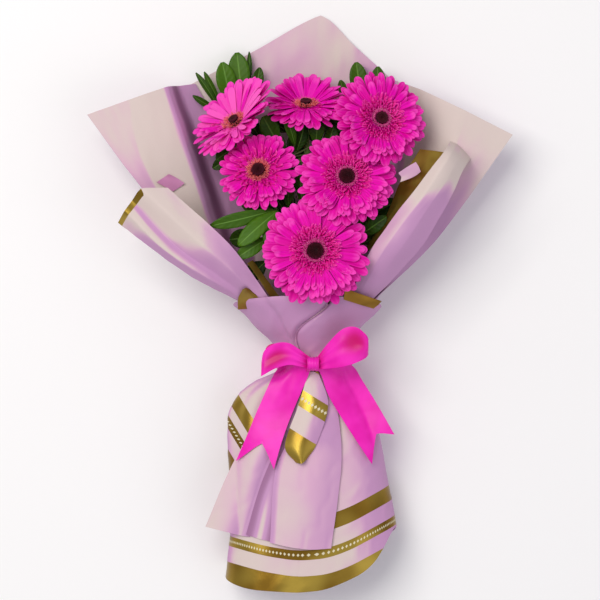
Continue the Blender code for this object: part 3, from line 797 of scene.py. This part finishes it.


# Foliage: where the leaves start, the slot round the neck, and each leaf's foot, tip, width and lightness;
# the lightness is partly each leaf's own tone and partly painted shade, low for leaves deep in the bouquet

sprigValues = {
    "far_left": {"at": (-80, 197, 9), "slot": 226, "leaves": [
        ((-82, 196, 10), (-106, 232, 17), 7, 0.35), ((-80, 200, 10), (-97, 233, 20), 7, 0.45),
        ((-84, 194, 10), (-109, 209, 19), 7, 0.3)]},
    "upper_left": {"at": (-58, 205, 6), "slot": 252, "leaves": [
        ((-70, 200, 8), (-79, 243, 15), 20, 0.9), ((-58, 205, 10), (-64, 253, 12), 22, 0.75),
        ((-54, 212, 8), (-52, 254, 9), 6, 0.3), ((-48, 208, 8), (-41, 238, 12), 12, 0.35),
        ((-60, 212, 4), (-56, 226, 6), 10, 0.5)]},
    "upper_right": {"at": (62, 200, 12), "slot": 296, "leaves": [
        ((62, 205, 10), (57, 243, 16), 18, 0.6), ((82, 203, 16), (79, 238, 26), 17, 0.55),
        ((46, 206, 10), (41, 225, 15), 9, 0.4), ((70, 200, 8), (70, 228, 14), 12, 0.3)]},
    "under_left": {"at": (-60, 132, 46), "slot": 194, "leaves": [
        ((-54, 163, 40), (-84, 142, 50), 20, 0.45), ((-62, 150, 38), (-88, 134, 40), 14, 0.15),
        ((-56, 128, 46), (-70, 112, 44), 14, 0.1)]},
    "centre": {"at": (-12, 144, 56), "slot": 128, "leaves": [
        ((-22, 158, 46), (-37, 186, 52), 19, 0.6), ((-5, 156, 50), (-15, 187, 55), 11, 0.55),
        ((16, 158, 48), (19, 184, 52), 16, 0.45), ((-4, 150, 44), (4, 178, 44), 14, 0.15),
        ((26, 152, 44), (34, 176, 44), 14, 0.15), ((-16, 146, 48), (-24, 168, 46), 12, 0.2)]},
    "inner": {"at": (-4, 92, 78), "slot": 104, "leaves": [
        ((-12, 94, 78), (-12, 134, 86), 14, 0.45), ((2, 96, 76), (-1, 136, 82), 11, 0.3),
        ((6, 100, 66), (12, 130, 66), 12, 0.1), ((-16, 92, 66), (-26, 104, 62), 14, 0.1)]},
    "lower_left": {"at": (-33, 80, 92), "slot": 168, "leaves": [
        ((-24, 91, 92), (-89, 75, 101), 15, 0.62), ((-22, 90, 95), (-61, 55, 103), 18, 0.85),
        ((-20, 86, 97), (-33, 57, 103), 18, 0.7), ((-30, 64, 92), (-63, 43, 98), 15, 0.75),
        ((-26, 92, 84), (-58, 96, 84), 16, 0.12), ((-40, 66, 76), (-70, 62, 72), 20, 0.08),
        ((-34, 40, 72), (-52, 24, 70), 18, 0.05)]},
    "lower_right": {"at": (50, 70, 84), "slot": 8, "leaves": [
        ((60, 66, 84), (86, 84, 96), 15, 0.25), ((56, 74, 80), (78, 96, 86), 15, 0.2),
        ((62, 58, 72), (92, 70, 80), 18, 0.08), ((66, 84, 74), (98, 100, 84), 16, 0.1)]},
}


def makeLeaf(parts, foot, tip, width, tone, chance):
    run = tip - foot
    side = run.cross(Vector((0, 0, 1))).normalized()
    tilt = chance.uniform(-0.35, 0.35)
    side = (side + Vector((0, 0, tilt))).normalized()
    up = side.cross(run).normalized()
    arch = chance.uniform(0.04, 0.10) * run.length
    fold = chance.uniform(0.12, 0.30)
    rows = []
    marks = []
    for j in range(15):
        v = j / 14
        half = width / 2 * max(math.sin(math.pi * min(v, 0.99) ** 1.3) ** 0.55, 0.12)
        wave = chance.uniform(-0.15, 0.15)
        row = []
        for i in range(7):
            t = -1 + i / 3
            lift = fold * half * abs(t) ** 1.3 + arch * math.sin(math.pi * v * 0.9) + wave * t * t
            row.append(foot + run * v + side * (half * t) + up * lift)
        rows.append(row)
        marks.append([(v, -1 + i / 3, tone) for i in range(7)])
    parts.grid(rows, marks)


# the deep leaves that fill the wrap below the heads: how many on a sprig, and the space they fill; they are
# painted nearly black, as painted shade
deepLeaves = {"count": 15, "low": (-56, 2, 22), "high": (82, 176, 58), "long": (24, 40), "wide": (13, 19),
              "sprigs": ("centre", "inner", "lower_left", "lower_right", "under_left"),
              "farY": 125, "farTop": 30, "middleX": 12}
twigRing = 16.5


def makeSprig(name, values):
    chance = random.Random(len(name) * 7 + len(values["leaves"]))
    parts = Parts()
    at = Vector(values["at"])
    for foot, tip, width, tone in values["leaves"]:
        makeLeaf(parts, Vector(foot), Vector(tip), width, tone, chance)
    low = deepLeaves["low"]
    high = deepLeaves["high"]
    middle = deepLeaves["middleX"]
    for _ in range(deepLeaves["count"] if name in deepLeaves["sprigs"] else 0):
        share = [chance.random() for _ in range(3)]
        y = low[1] + (high[1] - low[1]) * share[1]
        spread = 0.72 + 0.28 * share[1]
        x = middle + (low[0] + (high[0] - low[0]) * share[0] - middle) * spread
        top = high[2] if y < deepLeaves["farY"] else deepLeaves["farTop"]
        foot = Vector((x, y, low[2] + (top - low[2]) * share[2]))
        run = Vector((chance.uniform(-0.8, 0.8), chance.uniform(0.2, 1.0), chance.uniform(-0.2, 0.15)))
        tip = foot + run.normalized() * chance.uniform(*deepLeaves["long"])
        # painted shade: the deep leaves get a very low lightness
        makeLeaf(parts, foot, tip, chance.uniform(*deepLeaves["wide"]), chance.uniform(0.0, 0.14), chance)
    blades = parts.made(name.replace("_", "") + "Leaves", [leaf], "bloom", thickness=0.4)
    placed(blades, "leaf", "sprig_" + name)
    heading = (at - slotPoint(values["slot"], twigRing, neck["y"])).normalized()
    start = slotPoint(values["slot"], twigRing, neck["y"] + 8)
    woody = Parts()
    points = [slotPoint(values["slot"], twigRing, neck["y"] - drop) for drop in (100, 40)]
    points += route(start, at, heading, 12)
    tube(woody, points, [1.5] * (len(points) - 3) + [1.3, 1.1, 0.9], 8)
    for foot, tip, _, _ in values["leaves"]:
        foot = Vector(foot)
        stalk = [at, at.lerp(foot, 0.6) - Vector((0, 0, 1)), foot + (Vector(tip) - foot) * 0.04]
        if (stalk[2] - stalk[0]).length > 1.0:
            tube(woody, [smooth(stalk, k / 5) for k in range(6)], [0.9, 0.85, 0.8, 0.7, 0.6, 0.5], 6)
    placed(woody.made(name.replace("_", "") + "Twig", [twig], "bloom"), "leaf")


for sprigName, values in sprigValues.items():
    makeSprig(sprigName, values)
print("foliage made:", len(sprigValues))


# Paper

crownRings = [(-61.5, 0, 0), (-53, 0, 0), (-40, -1.2, 0.1), (-26, -3, 0.4), (-6, -5, 1)]


def fanRows(start, end, outer, opened=(0, 0)):
    count = len(outer[0])
    rows = []
    for y, layer, share in crownRings:
        first = start + opened[0] * share
        step = (end + opened[1] * share - first) / (count - 1)
        rows.append([wrapRing(first + step * i, y, layer) for i in range(count)])
    return rows + [[Vector(point) for point in row] for row in outer]


def folded(rows, sharp):
    # smooth from row to row; across it, sharp makes each column a fold
    def surface(u, v):
        line = [smooth(row, u).lerp(straight(row, u), sharp) for row in rows]
        return smooth(line, v)

    return surface


def crumpled(point, normal, amount, seed):
    # slow waves and a few faint creases
    spot = Vector((point.x / 34 + seed, point.y / 34, point.z / 60))
    slow = noise.noise(spot)
    crease = 1 - abs(noise.noise(Vector((point.x / 21, point.y / 27 + seed, 3.7)))) * 5
    return point + normal * (amount * (slow + 0.35 * max(crease, 0.0)))


# a mark that paints light and shade on the paper: more lit where the shift is high, painted shade where it is
# low
def paintedLightMark(shift):
    return lambda u, v, point: (0.0, shift(u, v), 0.0)


def plainSpot(u, v, point):
    return (0.0, 0.0, 0.0)


def paperPiece(name, surface, across, along, nodes=(), finishes=wrapPair, held="folded", spotOf=plainSpot,
               wave=1.0, seed=0.0, thickness=0.5, restsOn=(), floor=0.3, slotName="paper", ringed=False,
               notched=False):
    rows = []
    marks = []
    for j in range(along + 1):
        row = []
        markRow = []
        for i in range(across + 1):
            u = i / across
            v = j / along
            point = surface(u, v)
            near = surface(min(u + 0.01, 1), v) - surface(max(u - 0.01, 0), v)
            far = surface(u, min(v + 0.01, 1)) - surface(u, max(v - 0.01, 0))
            normal = near.cross(far)
            if normal.length > 1e-9:
                normal.normalize()
            point = crumpled(point, normal, wave, seed)
            point.z = max(point.z, floor)
            row.append(point)
            markRow.append(spotOf(u, v, point))
        rows.append(row)
        marks.append(markRow)
    # the front of the sheet faces up, or away from the middle of the wrap
    turned = 0.0
    for j in range(0, along, 2):
        for i in range(0, across, 2):
            normal = (rows[j][i + 1] - rows[j][i]).cross(rows[j + 1][i] - rows[j][i])
            middle = Vector((neck["x"], rows[j][i].y, neck["z"]))
            turned += normal.dot(rows[j][i] - middle) if ringed else normal.z
    parts = Parts()
    parts.grid(rows, marks, flip=turned < 0)
    inner = 1 if len(finishes) > 1 else 0
    thing = parts.made(name, finishes, "paperSpot", thickness=thickness, inner=inner, crisp=True)
    placed(thing, slotName, *nodes)
    if notched:
        widest = max((row[-1] - row[0]).length for row in rows)  # straight across the notch
    else:
        widest = max(sum((b - a).length for a, b in zip(row, row[1:])) for row in rows)
    longest = max(sum((b - a).length for a, b in zip(line, line[1:])) for line in zip(*rows))
    return thing


def heightOn(surface, x, y):
    spots = [surface(i / 16, j / 40) for i in range(17) for j in range(16, 41)]
    return min(spots, key=lambda spot: (spot.x - x) ** 2 + (spot.y - y) ** 2).z


def laidOn(surface, lift, spots):
    return [(x, y, heightOn(surface, x, y) + lift) for x, y in spots]


def makeCrown():
    back = [
        [(-60, 78, 0.8), (-20, 80, 0.8), (22, 80, 0.8), (45, 80, 0.8), (68, 78, 0.8)],
        [(-92, 156, 0.8), (-40, 172, 1.6), (20, 184, 0.8), (55, 176, 1.6), (84, 162, 0.8)],
        [(-112, 221, 0.8), (-45, 256, 2.6), (21, 291.5, 0.8), (57, 259, 2.6), (93, 227, 0.8)],
    ]

    def backShift(_, v):
        # painted shade: deep in the wrap the paper is painted dark
        return -1.0 * (1 - eased(v, 0.40, 0.62))

    paperPiece("backSheet", folded(fanRows(226, 314, back), 0.5), 48, 64, ["back_sheet"],
               spotOf=paintedLightMark(backShift), wave=2.2, seed=1.0)
    left = [
        [(-108, 58, 64), (-98, 66, 56), (-86, 72, 46), (-72, 78, 20), (-52, 82, 5)],
        [(-160, 116, 74), (-144, 126, 66), (-108, 138, 52), (-96, 146, 20), (-72, 152, 5)],
        [(-213, 187, 60), (-178, 200, 54), (-134, 216, 44), (-122, 219, 16), (-106, 222, 5)],
    ]

    def leftShift(u, v):
        # painted light and shade: lit out to the ridge, with a mauve tip, then painted shade past the ridge,
        # in the valley and low in the wrap
        tip = eased(0.34 - u - (1 - v) * 0.9, 0.0, 0.06) * 0.32
        valley = 0.75 * hump(u, 0.64, 0.09)
        low = 0.9 * eased(u, 0.5, 0.6) * (1 - eased(v, 0.42, 0.64))
        return 0.42 * (1 - eased(u, 0.44, 0.5)) - tip - 0.18 * eased(u, 0.5, 0.6) - valley - low

    leftSurface = folded(fanRows(154, 222, left), 0.75)
    paperPiece("leftSheet", leftSurface, 48, 60, ["left_sheet"], spotOf=paintedLightMark(leftShift), wave=1.4, seed=4.0)
    right = [
        [(58, 80, 5), (78, 76, 14), (96, 66, 38), (108, 56, 60), (122, 46, 46)],
        [(68, 156, 5), (98, 146, 14), (124, 130, 50), (140, 112, 68), (154, 84, 56)],
        [(56, 243, 5), (92, 226, 16), (122, 213, 44), (164, 192, 56), (213, 167, 58)],
    ]

    def rightShift(u, v):
        # painted light and shade: lighter towards the top, painted shade in a band beside the flowers and low
        # in the wrap, and a little darker past the outer fold
        beside = 0.5 * eased(0.36 - u, 0.0, 0.08) + 0.15 * eased(u, 0.64, 0.69)
        low = 0.9 * (1 - eased(u, 0.4, 0.6)) * (1 - eased(v, 0.42, 0.64))
        return 0.26 * eased(v, 0.55, 0.9) - beside - low

    rightSurface = folded(fanRows(318, 386, right), 0.7)
    paperPiece("rightSheet", rightSurface, 48, 60, ["right_sheet"], spotOf=paintedLightMark(rightShift), wave=1.4,
               seed=8.0)
    leftFlap = [
        [(-96, 18, 90), (-90, 22, 102), (-83, 27, 100), (-72, 35, 111), (-60, 45, 106)],
        [(-140, 48, 96), (-134, 52, 112), (-125, 57, 108), (-108, 66, 120), (-90, 76, 113)],
        [(-180, 78, 98), (-173, 89, 112), (-165, 100, 110), (-156, 111, 119), (-130, 112, 114)],
    ]

    def flapSpot(u, v, _):
        # painted shade along the roll's crease, towards its lower end and a little towards its far side; the
        # first number is the distance to the gold edge
        paintedLightShift = 0.24 - 0.42 * hump(u, 0.46, 0.07) - 0.36 * (1 - v) - 0.1 * eased(u, 0.7, 1)
        return ((1 - v) * 190 + max(u - 0.72, 0) * 90, paintedLightShift, 0.0)

    goldEdge = paperFinish("flapPaper", bands=[(0, -1.0, 2.8, False, 0)])
    leftRoll = folded(fanRows(151, 92, leftFlap, opened=(0, 26)), 0.6)
    paperPiece("leftFlap", leftRoll, 48, 60, ["left_flap"], [goldEdge, foil], spotOf=flapSpot, wave=1.5,
               seed=12.0)
    tucked = [(151, 161), (157, 158), (164, 152), (171, 144)]
    rightFlap = [
        [(72, 54, 104), (84, 53, 112), (98, 51, 109), (114, 47, 92)],
        [(110, 106, 113), (120, 102, 119), (130, 98, 115), (142, 91, 99)],
        [(140, 145, 112), (146, 141, 117), (153, 135, 113), (160, 128, 103)],
        laidOn(rightSurface, -1.8, tucked),
    ]

    def rightFlapShift(u, v):
        # painted light and shade: darker along the inner edge, and lit at the top end where the flap meets
        # the sheet
        return 0.34 * u - 0.20 + 0.9 * eased(v, 0.70, 0.88)

    rightRoll = folded(fanRows(88, 29, rightFlap, opened=(-32, 0)), 0.45)
    paperPiece("rightFlap", rightRoll, 48, 72, ["right_flap"], [plainPaper, foil],
               spotOf=paintedLightMark(rightFlapShift), wave=1.5, seed=16.0)
    makeTrims(leftRoll, leftSurface)


def makeTrims(leftRoll, leftSurface):
    # turned corners and the gilded insides of the folds: rows of x, y, and height
    mauve = Finish("foldShade", Roughness=0.6)
    mauve.shade(Base_Color=mauve.blend(mauve.cloud(60.0), (0.50, 0.18, 0.37), (0.60, 0.26, 0.46)))
    shadedFoil = foilFinish("shadedFoil", (0.13, 0.055, 0.006), (0.30, 0.16, 0.02))
    onLeft = [[(-62, -8), (-50, -7), (-37, -6)], [(-61.5, 3), (-50, 5), (-39, 1)],
              [(-57, 12), (-53, 13.5), (-48, 11)]]
    onSheet = [[(-143, 119), (-136, 115), (-127, 110)], [(-137, 123.5), (-130, 119), (-121, 114)],
               [(-131, 127.5), (-124, 124), (-115.5, 118.5)]]
    trims = {
        "cornerLeft": ([laidOn(leftRoll, 2.6, spots) for spots in onLeft], foil),
        "insideLeft": ([[(-52, 38, 100), (-47, 41, 92)], [(-40, 21, 97), (-34, 23, 90)],
                        [(-28, 2, 88), (-20, 4, 82)], [(-21, -8, 84), (-13, -6, 78)]], foil),
        "insideRight": ([[(143, 147, 107), (132, 149, 100), (119, 151, 90)],
                         [(128, 128, 108), (116, 127, 100), (101, 122, 90)],
                         [(110, 106, 106), (100, 101, 98), (88, 90, 88)],
                         [(90, 79, 102), (81, 73, 94), (74, 66, 84)],
                         [(71, 53, 100), (67, 50, 92), (61, 47, 84)]], foil),
        "cornerRight": ([[(97, 127, 104), (100, 123, 103), (99, 118, 102)],
                         [(106, 133, 107), (110, 128, 106), (112, 123, 105)],
                         [(114, 137.5, 109), (117, 133, 108), (119, 128, 107)]], plainPaper),
        "foldRight": ([[(44, 13, 95), (44, 8, 94), (43, 2, 92)], [(63, 6.5, 90), (61, 2, 89), (59, -3, 87)],
                       [(81, 0.5, 82), (78, -3, 80), (73, -7, 77)]], shadedFoil),
        "foldLeft": ([laidOn(leftSurface, 2.0, spots) for spots in onSheet], mauve),
    }
    for name, (rows, finish) in trims.items():
        net = folded([[Vector(point) for point in row] for row in rows], 0.2)
        paperPiece(name, net, 12, 16, finishes=[finish], wave=0.4, seed=90.0, thickness=0.4)


def makeCollar():
    def rim(angle):
        return -6.0 + 12.0 * math.sin(math.radians(min(max(angle, 0), 180)))

    def leftHalf(u, v):
        angle = 186 + (72 - 186) * u
        y = -61.5 + (rim(angle) + 61.5) * v
        fold = 3.6 * hump(angle, 121, 3.6) * eased(v, 0.08, 0.5)
        under = 112 - 42 * eased(v, 0.25, 0.98)
        slit = (3.0 + 4.0 * v) * math.exp(-(((angle - under - 1.6) / 2.4) ** 2))
        return wrapRing(angle, y, 1.8 - fold - slit)

    def rightHalf(u, v):
        edge = 112 - 42 * eased(v, 0.25, 0.98)
        angle = edge + (-6 - edge) * u
        y = -61.5 + (rim(angle) + 61.5) * v
        return wrapRing(angle, y, 3.2 - 2.4 * (1 - u) ** 16)

    def collarShift(u, _):
        # painted shade: the collar a little darkened, and a dark line along its overlapping edge
        return -0.10 - 0.9 * eased(0.04 - u, 0.0, 0.04)

    for name, half, node, seed in (("collarLeft", leftHalf, "collar_left", 20.0),
                                   ("collarRight", rightHalf, "collar_right", 23.0)):
        paperPiece(name, half, 48, 32, [node], spotOf=paintedLightMark(collarShift), wave=1.3, seed=seed, ringed=True)


# the hem, by its angle round the skirt
hemTable = [(-35, -238), (0, -226), (24, -228), (55, -268), (90, -291), (130, -288), (180, -277),
            (225, -268), (325, -250)]
# the line that the gold bands follow, by its place across the skirt
bandLine = [(-90, -276), (-69, -278), (-35, -286), (-5, -290.5), (15, -289.5), (29, -287.5),
            (50, -280), (77, -266), (96, -256.5), (112, -249)]


def makeSkirt():
    def surface(u, v):
        angle = 94 + 362 * u
        turned = angle - 360 if angle > 325 else angle
        hem = smoothReading(hemTable, turned, 8)[0]
        y = -62.6 - 7.4 * v * 10 if v < 0.1 else -70 + (hem + 70) * (v - 0.1) / 0.9
        gather = 1.5 * math.sin(math.radians(angle) * 9) * eased(-y, 64, 80) * (1 - eased(-y, 95, 185))
        return wrapRing(angle, y, gather + 0.5 * u)

    def spotOf(u, _, point):
        line = smoothReading(bandLine, point.x, 8)[0]
        sidePlace = 0.842 * point.x + 0.539 * point.y + max(0.0, point.x + 35) * 4
        away = point.y - line
        return (away, point.y * 1.1 if away > 90 and point.x < 0 else u * 500, sidePlace)

    bands = [(0, -30.0, 16.0, False, 0), (0, 32.0, 42.0, True, 0), (0, 59.0, 75.0, False, 0),
             (2, -114.8, -102.7, False, 95), (2, -130.0, -122.5, True, 95), (2, -152.0, -141.0, False, 95)]
    skirtPaper = paperFinish("skirtPaper", bands=bands, shifted=False)
    paperPiece("skirt", surface, 144, 72, ["skirt_front", "skirt_left", "skirt_back", "skirt_right"],
               [skirtPaper, insidePaper], spotOf=spotOf, wave=1.2, seed=30.0, ringed=True)


def skirtFront(x, y, layer):
    left = wrapRing(180, y)
    right = wrapRing(0, y)
    top = wrapRing(90, y)
    half = (right.x - left.x) / 2
    share = min(abs(x - left.x - half) / half, 0.9)
    rise = (1 - share ** neck["square"]) ** (1 / neck["square"])
    return Vector((x, y, left.z + (top.z - left.z) * rise + layer))


def makeTails():
    leftRows = [
        [(-8, -71), (-3, -71), (2, -71), (9, -71)],
        [(-42, -120), (-28, -120), (-15, -120), (-2, -120)],
        [(-69, -165.5), (-52, -166), (-38, -166), (-27, -166)],
        [(-95, -225.5), (-76, -230), (-60, -234), (-50, -235.5)],
    ]
    rightRows = [
        [(11, -71), (15, -71), (22, -71), (30, -71)],
        [(0, -120), (10, -120), (25, -120), (39, -120)],
        [(-24, -166), (-2, -166), (20, -166), (41, -166)],
        [(-30, -240.5), (-8, -245), (12, -247), (31, -246)],
    ]
    for name, rows, node, seed in (("tailLeft", leftRows, "tail_left", 40.0),
                                   ("tailRight", rightRows, "tail_right", 44.0)):
        flat = folded(flatRows(rows), 0.3)

        def surface(u, v, flat=flat, name=name):
            place = flat(u, v)
            if name == "tailLeft":
                bulge = 5.0 * math.sin(math.pi * min(u / 0.75, 1)) * eased(v, 0.1, 0.6)
                bulge -= 2.2 * eased(u, 0.7, 1)
            else:
                bulge = 4.0 * math.sin(math.pi * u) * eased(v, 0.1, 0.5)
            return skirtFront(place.x, place.y, 3.2 + bulge)

        def tailShift(u, v, name=name):
            # painted shade: the left tail darkens into the valley, the right one along a band and at its left
            # edge
            if name == "tailLeft":
                return -0.04 - 0.60 * eased(u, 0.70, 0.94)
            return -0.06 - 0.30 * hump(v, 0.40, 0.09) - 0.35 * eased(0.1 - u, 0.0, 0.1)

        paperPiece(name, surface, 32, 64, [node], held="hung", spotOf=paintedLightMark(tailShift), wave=0.9, seed=seed,
                   restsOn=["skirt"])
    # the paper that shows between the two tails, folded down into a valley
    valleyFlat = folded(flatRows([
        [(4, -76), (10, -76), (15, -76)], [(-12, -120), (0, -120), (8, -120)],
        [(-38, -180), (-27, -178), (-12, -180)], [(-54, -233), (-41, -237), (-27, -240)]]), 0.9)

    def valley(u, v):
        place = valleyFlat(u, v)
        return skirtFront(place.x, place.y, 1.4 + 1.2 * (1 - math.sin(math.pi * u)))

    def valleyShift(u, v):
        # painted shade: the valley is dark, lighter only in its lower middle
        return -0.75 + 0.75 * hump(u, 0.5, 0.2) * eased(v, 0.45, 0.9)

    paperPiece("tailValley", valley, 16, 48, held="hung", spotOf=paintedLightMark(valleyShift), wave=0.2, seed=50.0,
               restsOn=["skirt"])
    endFlat = folded(flatRows([
        [(8.5, -70), (13, -70), (18, -70)], [(-2, -104.5), (13, -104), (28, -102.5)],
        [(-15, -143), (1, -143), (17, -140)], [(-4, -160), (2, -161), (7, -156)]]), 0.2)

    def paperEnd(u, v):
        place = endFlat(u, v)
        crown = 5.0 * math.sin(math.pi * u) * eased(v, 0.0, 0.4)
        return skirtFront(place.x, place.y, 8.0 + crown)

    def endSpot(_, __, point):
        return (0.0, point.x * 0.85 - point.y * 0.526, 0.526 * point.x + 0.85 * point.y)

    endBands = [(2, -89.0, -73.5, True, 0), (2, -200.0, -112.5, False, 0), (2, -52.0, 0.0, False, 0)]
    endPaper = paperFinish("tailPaper", bands=endBands, shifted=False)
    paperPiece("paperEnd", paperEnd, 24, 48, ["paper_tail"], [endPaper, foil], "hung", spotOf=endSpot,
               wave=0.6, seed=54.0, restsOn=["skirt"])


makeCrown()
makeCollar()
makeSkirt()
makeTails()
print("paper made")


# Ribbon


def ribbonPiece(name, surface, across, along, nodes, held, deep=None, **more):
    def spotOf(u, v, _):
        return (u, v * 90, deep(u, v) if deep else 0.0)

    return paperPiece(name, surface, across, along, nodes, [satin], held, spotOf=spotOf, thickness=0.4,
                      slotName="ribbon", **more)


def makeRibbon():
    outer = 2.3 + 0.8 + 0.9 + 0.9  # clear of the collar's layers

    def band(u, v):
        place = wrapRing(90 + 360 * u, neck["y"], outer + 0.25 * math.cos(6 * math.pi * v))
        place.y = neck["y"] + 12.0 * (v - 0.5)
        return place

    ribbonPiece("ribbonBand", band, 96, 12, ["band_left", "band_right"], "gathered", restsOn=["collarLeft"],
                wave=0.2, ringed=True)
    low, high = (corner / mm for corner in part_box("knot"))
    middle = (low + high) / 2
    base = Vector((middle.x, middle.y, low.z + 2))
    # the knot: a short wrapped band, pinched at its waist
    parts = Parts()
    rows = []
    marks = []
    for j in range(21):
        turn = 2 * math.pi * j / 20
        row = []
        for i in range(13):
            t = -1 + i / 6
            pleat = 0.5 * math.cos(4 * math.pi * t)
            deep = 9.0 + pleat - 1.2 * t * t
            wide = 5.6 + 1.0 * math.cos(turn) ** 2
            forward = (6.6 + pleat + 0.8 * t * t) * math.cos(turn)
            row.append(middle + Vector((wide * t - 0.5, forward, deep * math.sin(turn) * 1.15)))
        rows.append(row)
        # painted shade on the knot's sides, a deeper red than its middle
        marks.append([(i / 12, j * 4.0, 0.35 if abs(i - 6) > 4 else 0.05) for i in range(13)])
    parts.grid(rows, marks)
    knot = parts.made("ribbonKnot", [satin], "paperSpot", thickness=0.5)
    placed(knot, "ribbon", "knot")
    loops = {
        # x, y, height above the band, width, and how far the width leans up
        "left": ([(-4, 0, 8, 12, 0), (-14, 6, 6, 17, 2), (-25, 10, 6, 20, 2), (-38, 9, 7, 23, 0),
                  (-47, 4, 9, 25, -3), (-52, -6, 12, 12, -3), (-49, 1, 16, 23, -2), (-38, 8, 19, 25, 3),
                  (-25, 10, 20, 22, 4), (-14, 6, 18, 17, 3), (-4, 1, 13, 12, 0)], "loop_left"),
        "right": ([(4, 1, 8, 12, 0), (14, 8, 8, 24, 0), (28, 16, 10, 34, 0), (41, 19, 15, 34, 3),
                   (51, 18, 19, 22, 5), (54, 17, 23, 15, 6), (51, 18, 27, 24, 5), (41, 19, 29, 36, 4),
                   (28, 16, 27, 37, 3), (14, 8, 20, 25, 2), (4, 1, 13, 12, 0)], "loop_right"),
    }
    for name, (run, node) in loops.items():
        line = [Vector(spot[:3]) for spot in run]
        wides = [Vector((spot[3], spot[4], 0)) for spot in run]

        def loop(u, v, line=line, wides=wides):
            place = smooth(line, u) + base
            wide = smooth(wides, u)
            near = math.exp(-abs(place.x - middle.x) / 16)
            place.y += wide.x * (v - 0.5)
            dent = math.exp(-(((u - 0.70) / 0.08) ** 2) - (((v - 0.55) / 0.25) ** 2))
            pleats = 1.3 * near * math.cos(6 * math.pi * v)
            place.z += wide.y * (v - 0.5) + pleats - 2.0 * (2 * v - 1) ** 2 - 3.5 * dent
            return place

        def deep(u, v, name=name):
            # painted shade: the inside of the loop, and a hollow on its top, are painted a deeper red
            spot = ((u - 0.70) / 0.11) ** 2 + ((v - (0.60 if name == "right" else 0.42)) / 0.32) ** 2
            return 0.9 if u < 0.47 else math.exp(-spot) + 0.5 * hump(u, 0.97, 0.05)

        ribbonPiece("ribbonLoop" + name.title(), loop, 56, 24, [node], "folded", deep=deep, wave=0.6,
                    seed=60.0)
    tails = {
        "Left": ([[(-8, -60), (2, -62), (11, -65)], [(-23, -68), (-8, -72), (7, -77)],
                  [(-41, -105), (-23, -106), (-6, -107)], [(-53, -134), (-36, -133), (-17, -136)],
                  [(-64, -159.5), (-38, -141.5), (-26, -167)]], "ribbon_tail_left", 70.0),
        "Right": ([[(14, -64), (22, -61), (32, -58)], [(21, -73), (36, -69), (52, -64)],
                   [(29, -95), (45, -88), (63, -80)], [(48.5, -127), (63, -116), (78.5, -105)],
                   [(72, -162.5), (76.5, -132.5), (94.4, -133)]], "ribbon_tail_right", 76.0),
    }
    for name, (rows, node, seed) in tails.items():
        points = flatRows(rows)

        def tail(u, v, points=points):
            line = [straight(row, u).lerp(smooth(row, u), 0.3) for row in points]
            place = smooth(line, v)
            pleats = 0.9 * math.cos(5 * math.pi * u) * (1 - eased(v, 0.1, 0.5))
            ripple = 1.6 * math.sin(2.3 * math.pi * v + u) + pleats
            high = 16.0 - 8.0 * eased(v, 0.0, 0.35)
            return skirtFront(place.x, place.y, high + ripple)

        ribbonPiece("ribbonTail" + name, tail, 20, 64, [node], "hung", restsOn=["skirt"], wave=0.5, seed=seed,
                    notched=True)


makeRibbon()
print("ribbon made")


# The tie round the stems, under the ribbon


def makeTie():
    low, high = (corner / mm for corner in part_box("stem_tie"))
    middle = (low + high) / 2
    parts = Parts()
    for k in range(3):
        ring = (high.x - low.x) / 2 - 1.0
        points = []
        for i in range(49):
            turn = 2 * math.pi * i / 48
            wander = (k - 1) * 1.5 + 0.4 * math.sin(turn * 3 + k)
            points.append(middle + Vector((ring * math.cos(turn), wander, ring * math.sin(turn))))
        tube(parts, points, [0.8] * len(points), 8)
    placed(parts.made("stemTie", [twineFinish()], "bloom"), "tie", "stem_tie")


makeTie()


# Floor, light and camera

studio = {"floor": (0.92, 0.92, 0.91), "floorHalf": 4.0, "world": (0.94, 0.93, 1.0), "worldStrength": 0.48,
          "key": 56.0, "fill": 14.0, "height": 3.2, "sensor": 36.0, "viewWidth": 0.600, "viewShift": 0.0012}


def makeStudio():
    low, high = (Vector(corner) for corner in cadBox)
    middle = (low + high) / 2
    mesh = bpy.data.meshes.new("floor")
    wide = studio["floorHalf"]
    corners = [(-wide, -wide, 0), (wide, -wide, 0), (wide, wide, 0), (-wide, wide, 0)]
    mesh.from_pydata(corners, [], [(0, 1, 2, 3)])
    floor = bpy.data.objects.new("floor", mesh)
    floorFinish = Finish("floorPlain", Base_Color=studio["floor"], Roughness=0.9, Specular_IOR_Level=0.1)
    mesh.materials.append(floorFinish.material)
    bpy.context.scene.collection.objects.link(floor)
    for name, place, size, power, colour in (
        ("keyLight", (-1.1, 0.9, 2.6), 1.8, studio["key"], (1.0, 0.97, 0.92)),
        ("fillLight", (1.6, -1.2, 2.0), 2.4, studio["fill"], (0.95, 0.93, 1.0)),
    ):
        lamp = bpy.data.lights.new(name, "AREA")
        lamp.size = size
        lamp.energy = power
        lamp.color = colour
        holder = bpy.data.objects.new(name, lamp)
        holder.location = place
        holder.rotation_euler = (middle - Vector(place)).to_track_quat("-Z", "Y").to_euler()
        bpy.context.scene.collection.objects.link(holder)
    world = bpy.data.worlds.new("studio")
    world.use_nodes = True
    sky = world.node_tree.nodes["Background"]
    sky.inputs[0].default_value = (*studio["world"], 1)
    sky.inputs[1].default_value = studio["worldStrength"]
    bpy.context.scene.world = world
    lens = bpy.data.cameras.new("camera")
    lens.sensor_width = studio["sensor"]
    lens.lens = studio["sensor"] * (studio["height"] - middle.z) / studio["viewWidth"]
    lens.clip_end = 20.0
    camera = bpy.data.objects.new("camera", lens)
    camera.location = (middle.x, middle.y + studio["viewShift"], studio["height"])
    bpy.context.scene.collection.objects.link(camera)
    bpy.context.scene.camera = camera
    bpy.context.scene.view_settings.view_transform = "Standard"


makeStudio()
bpy.context.view_layer.update()
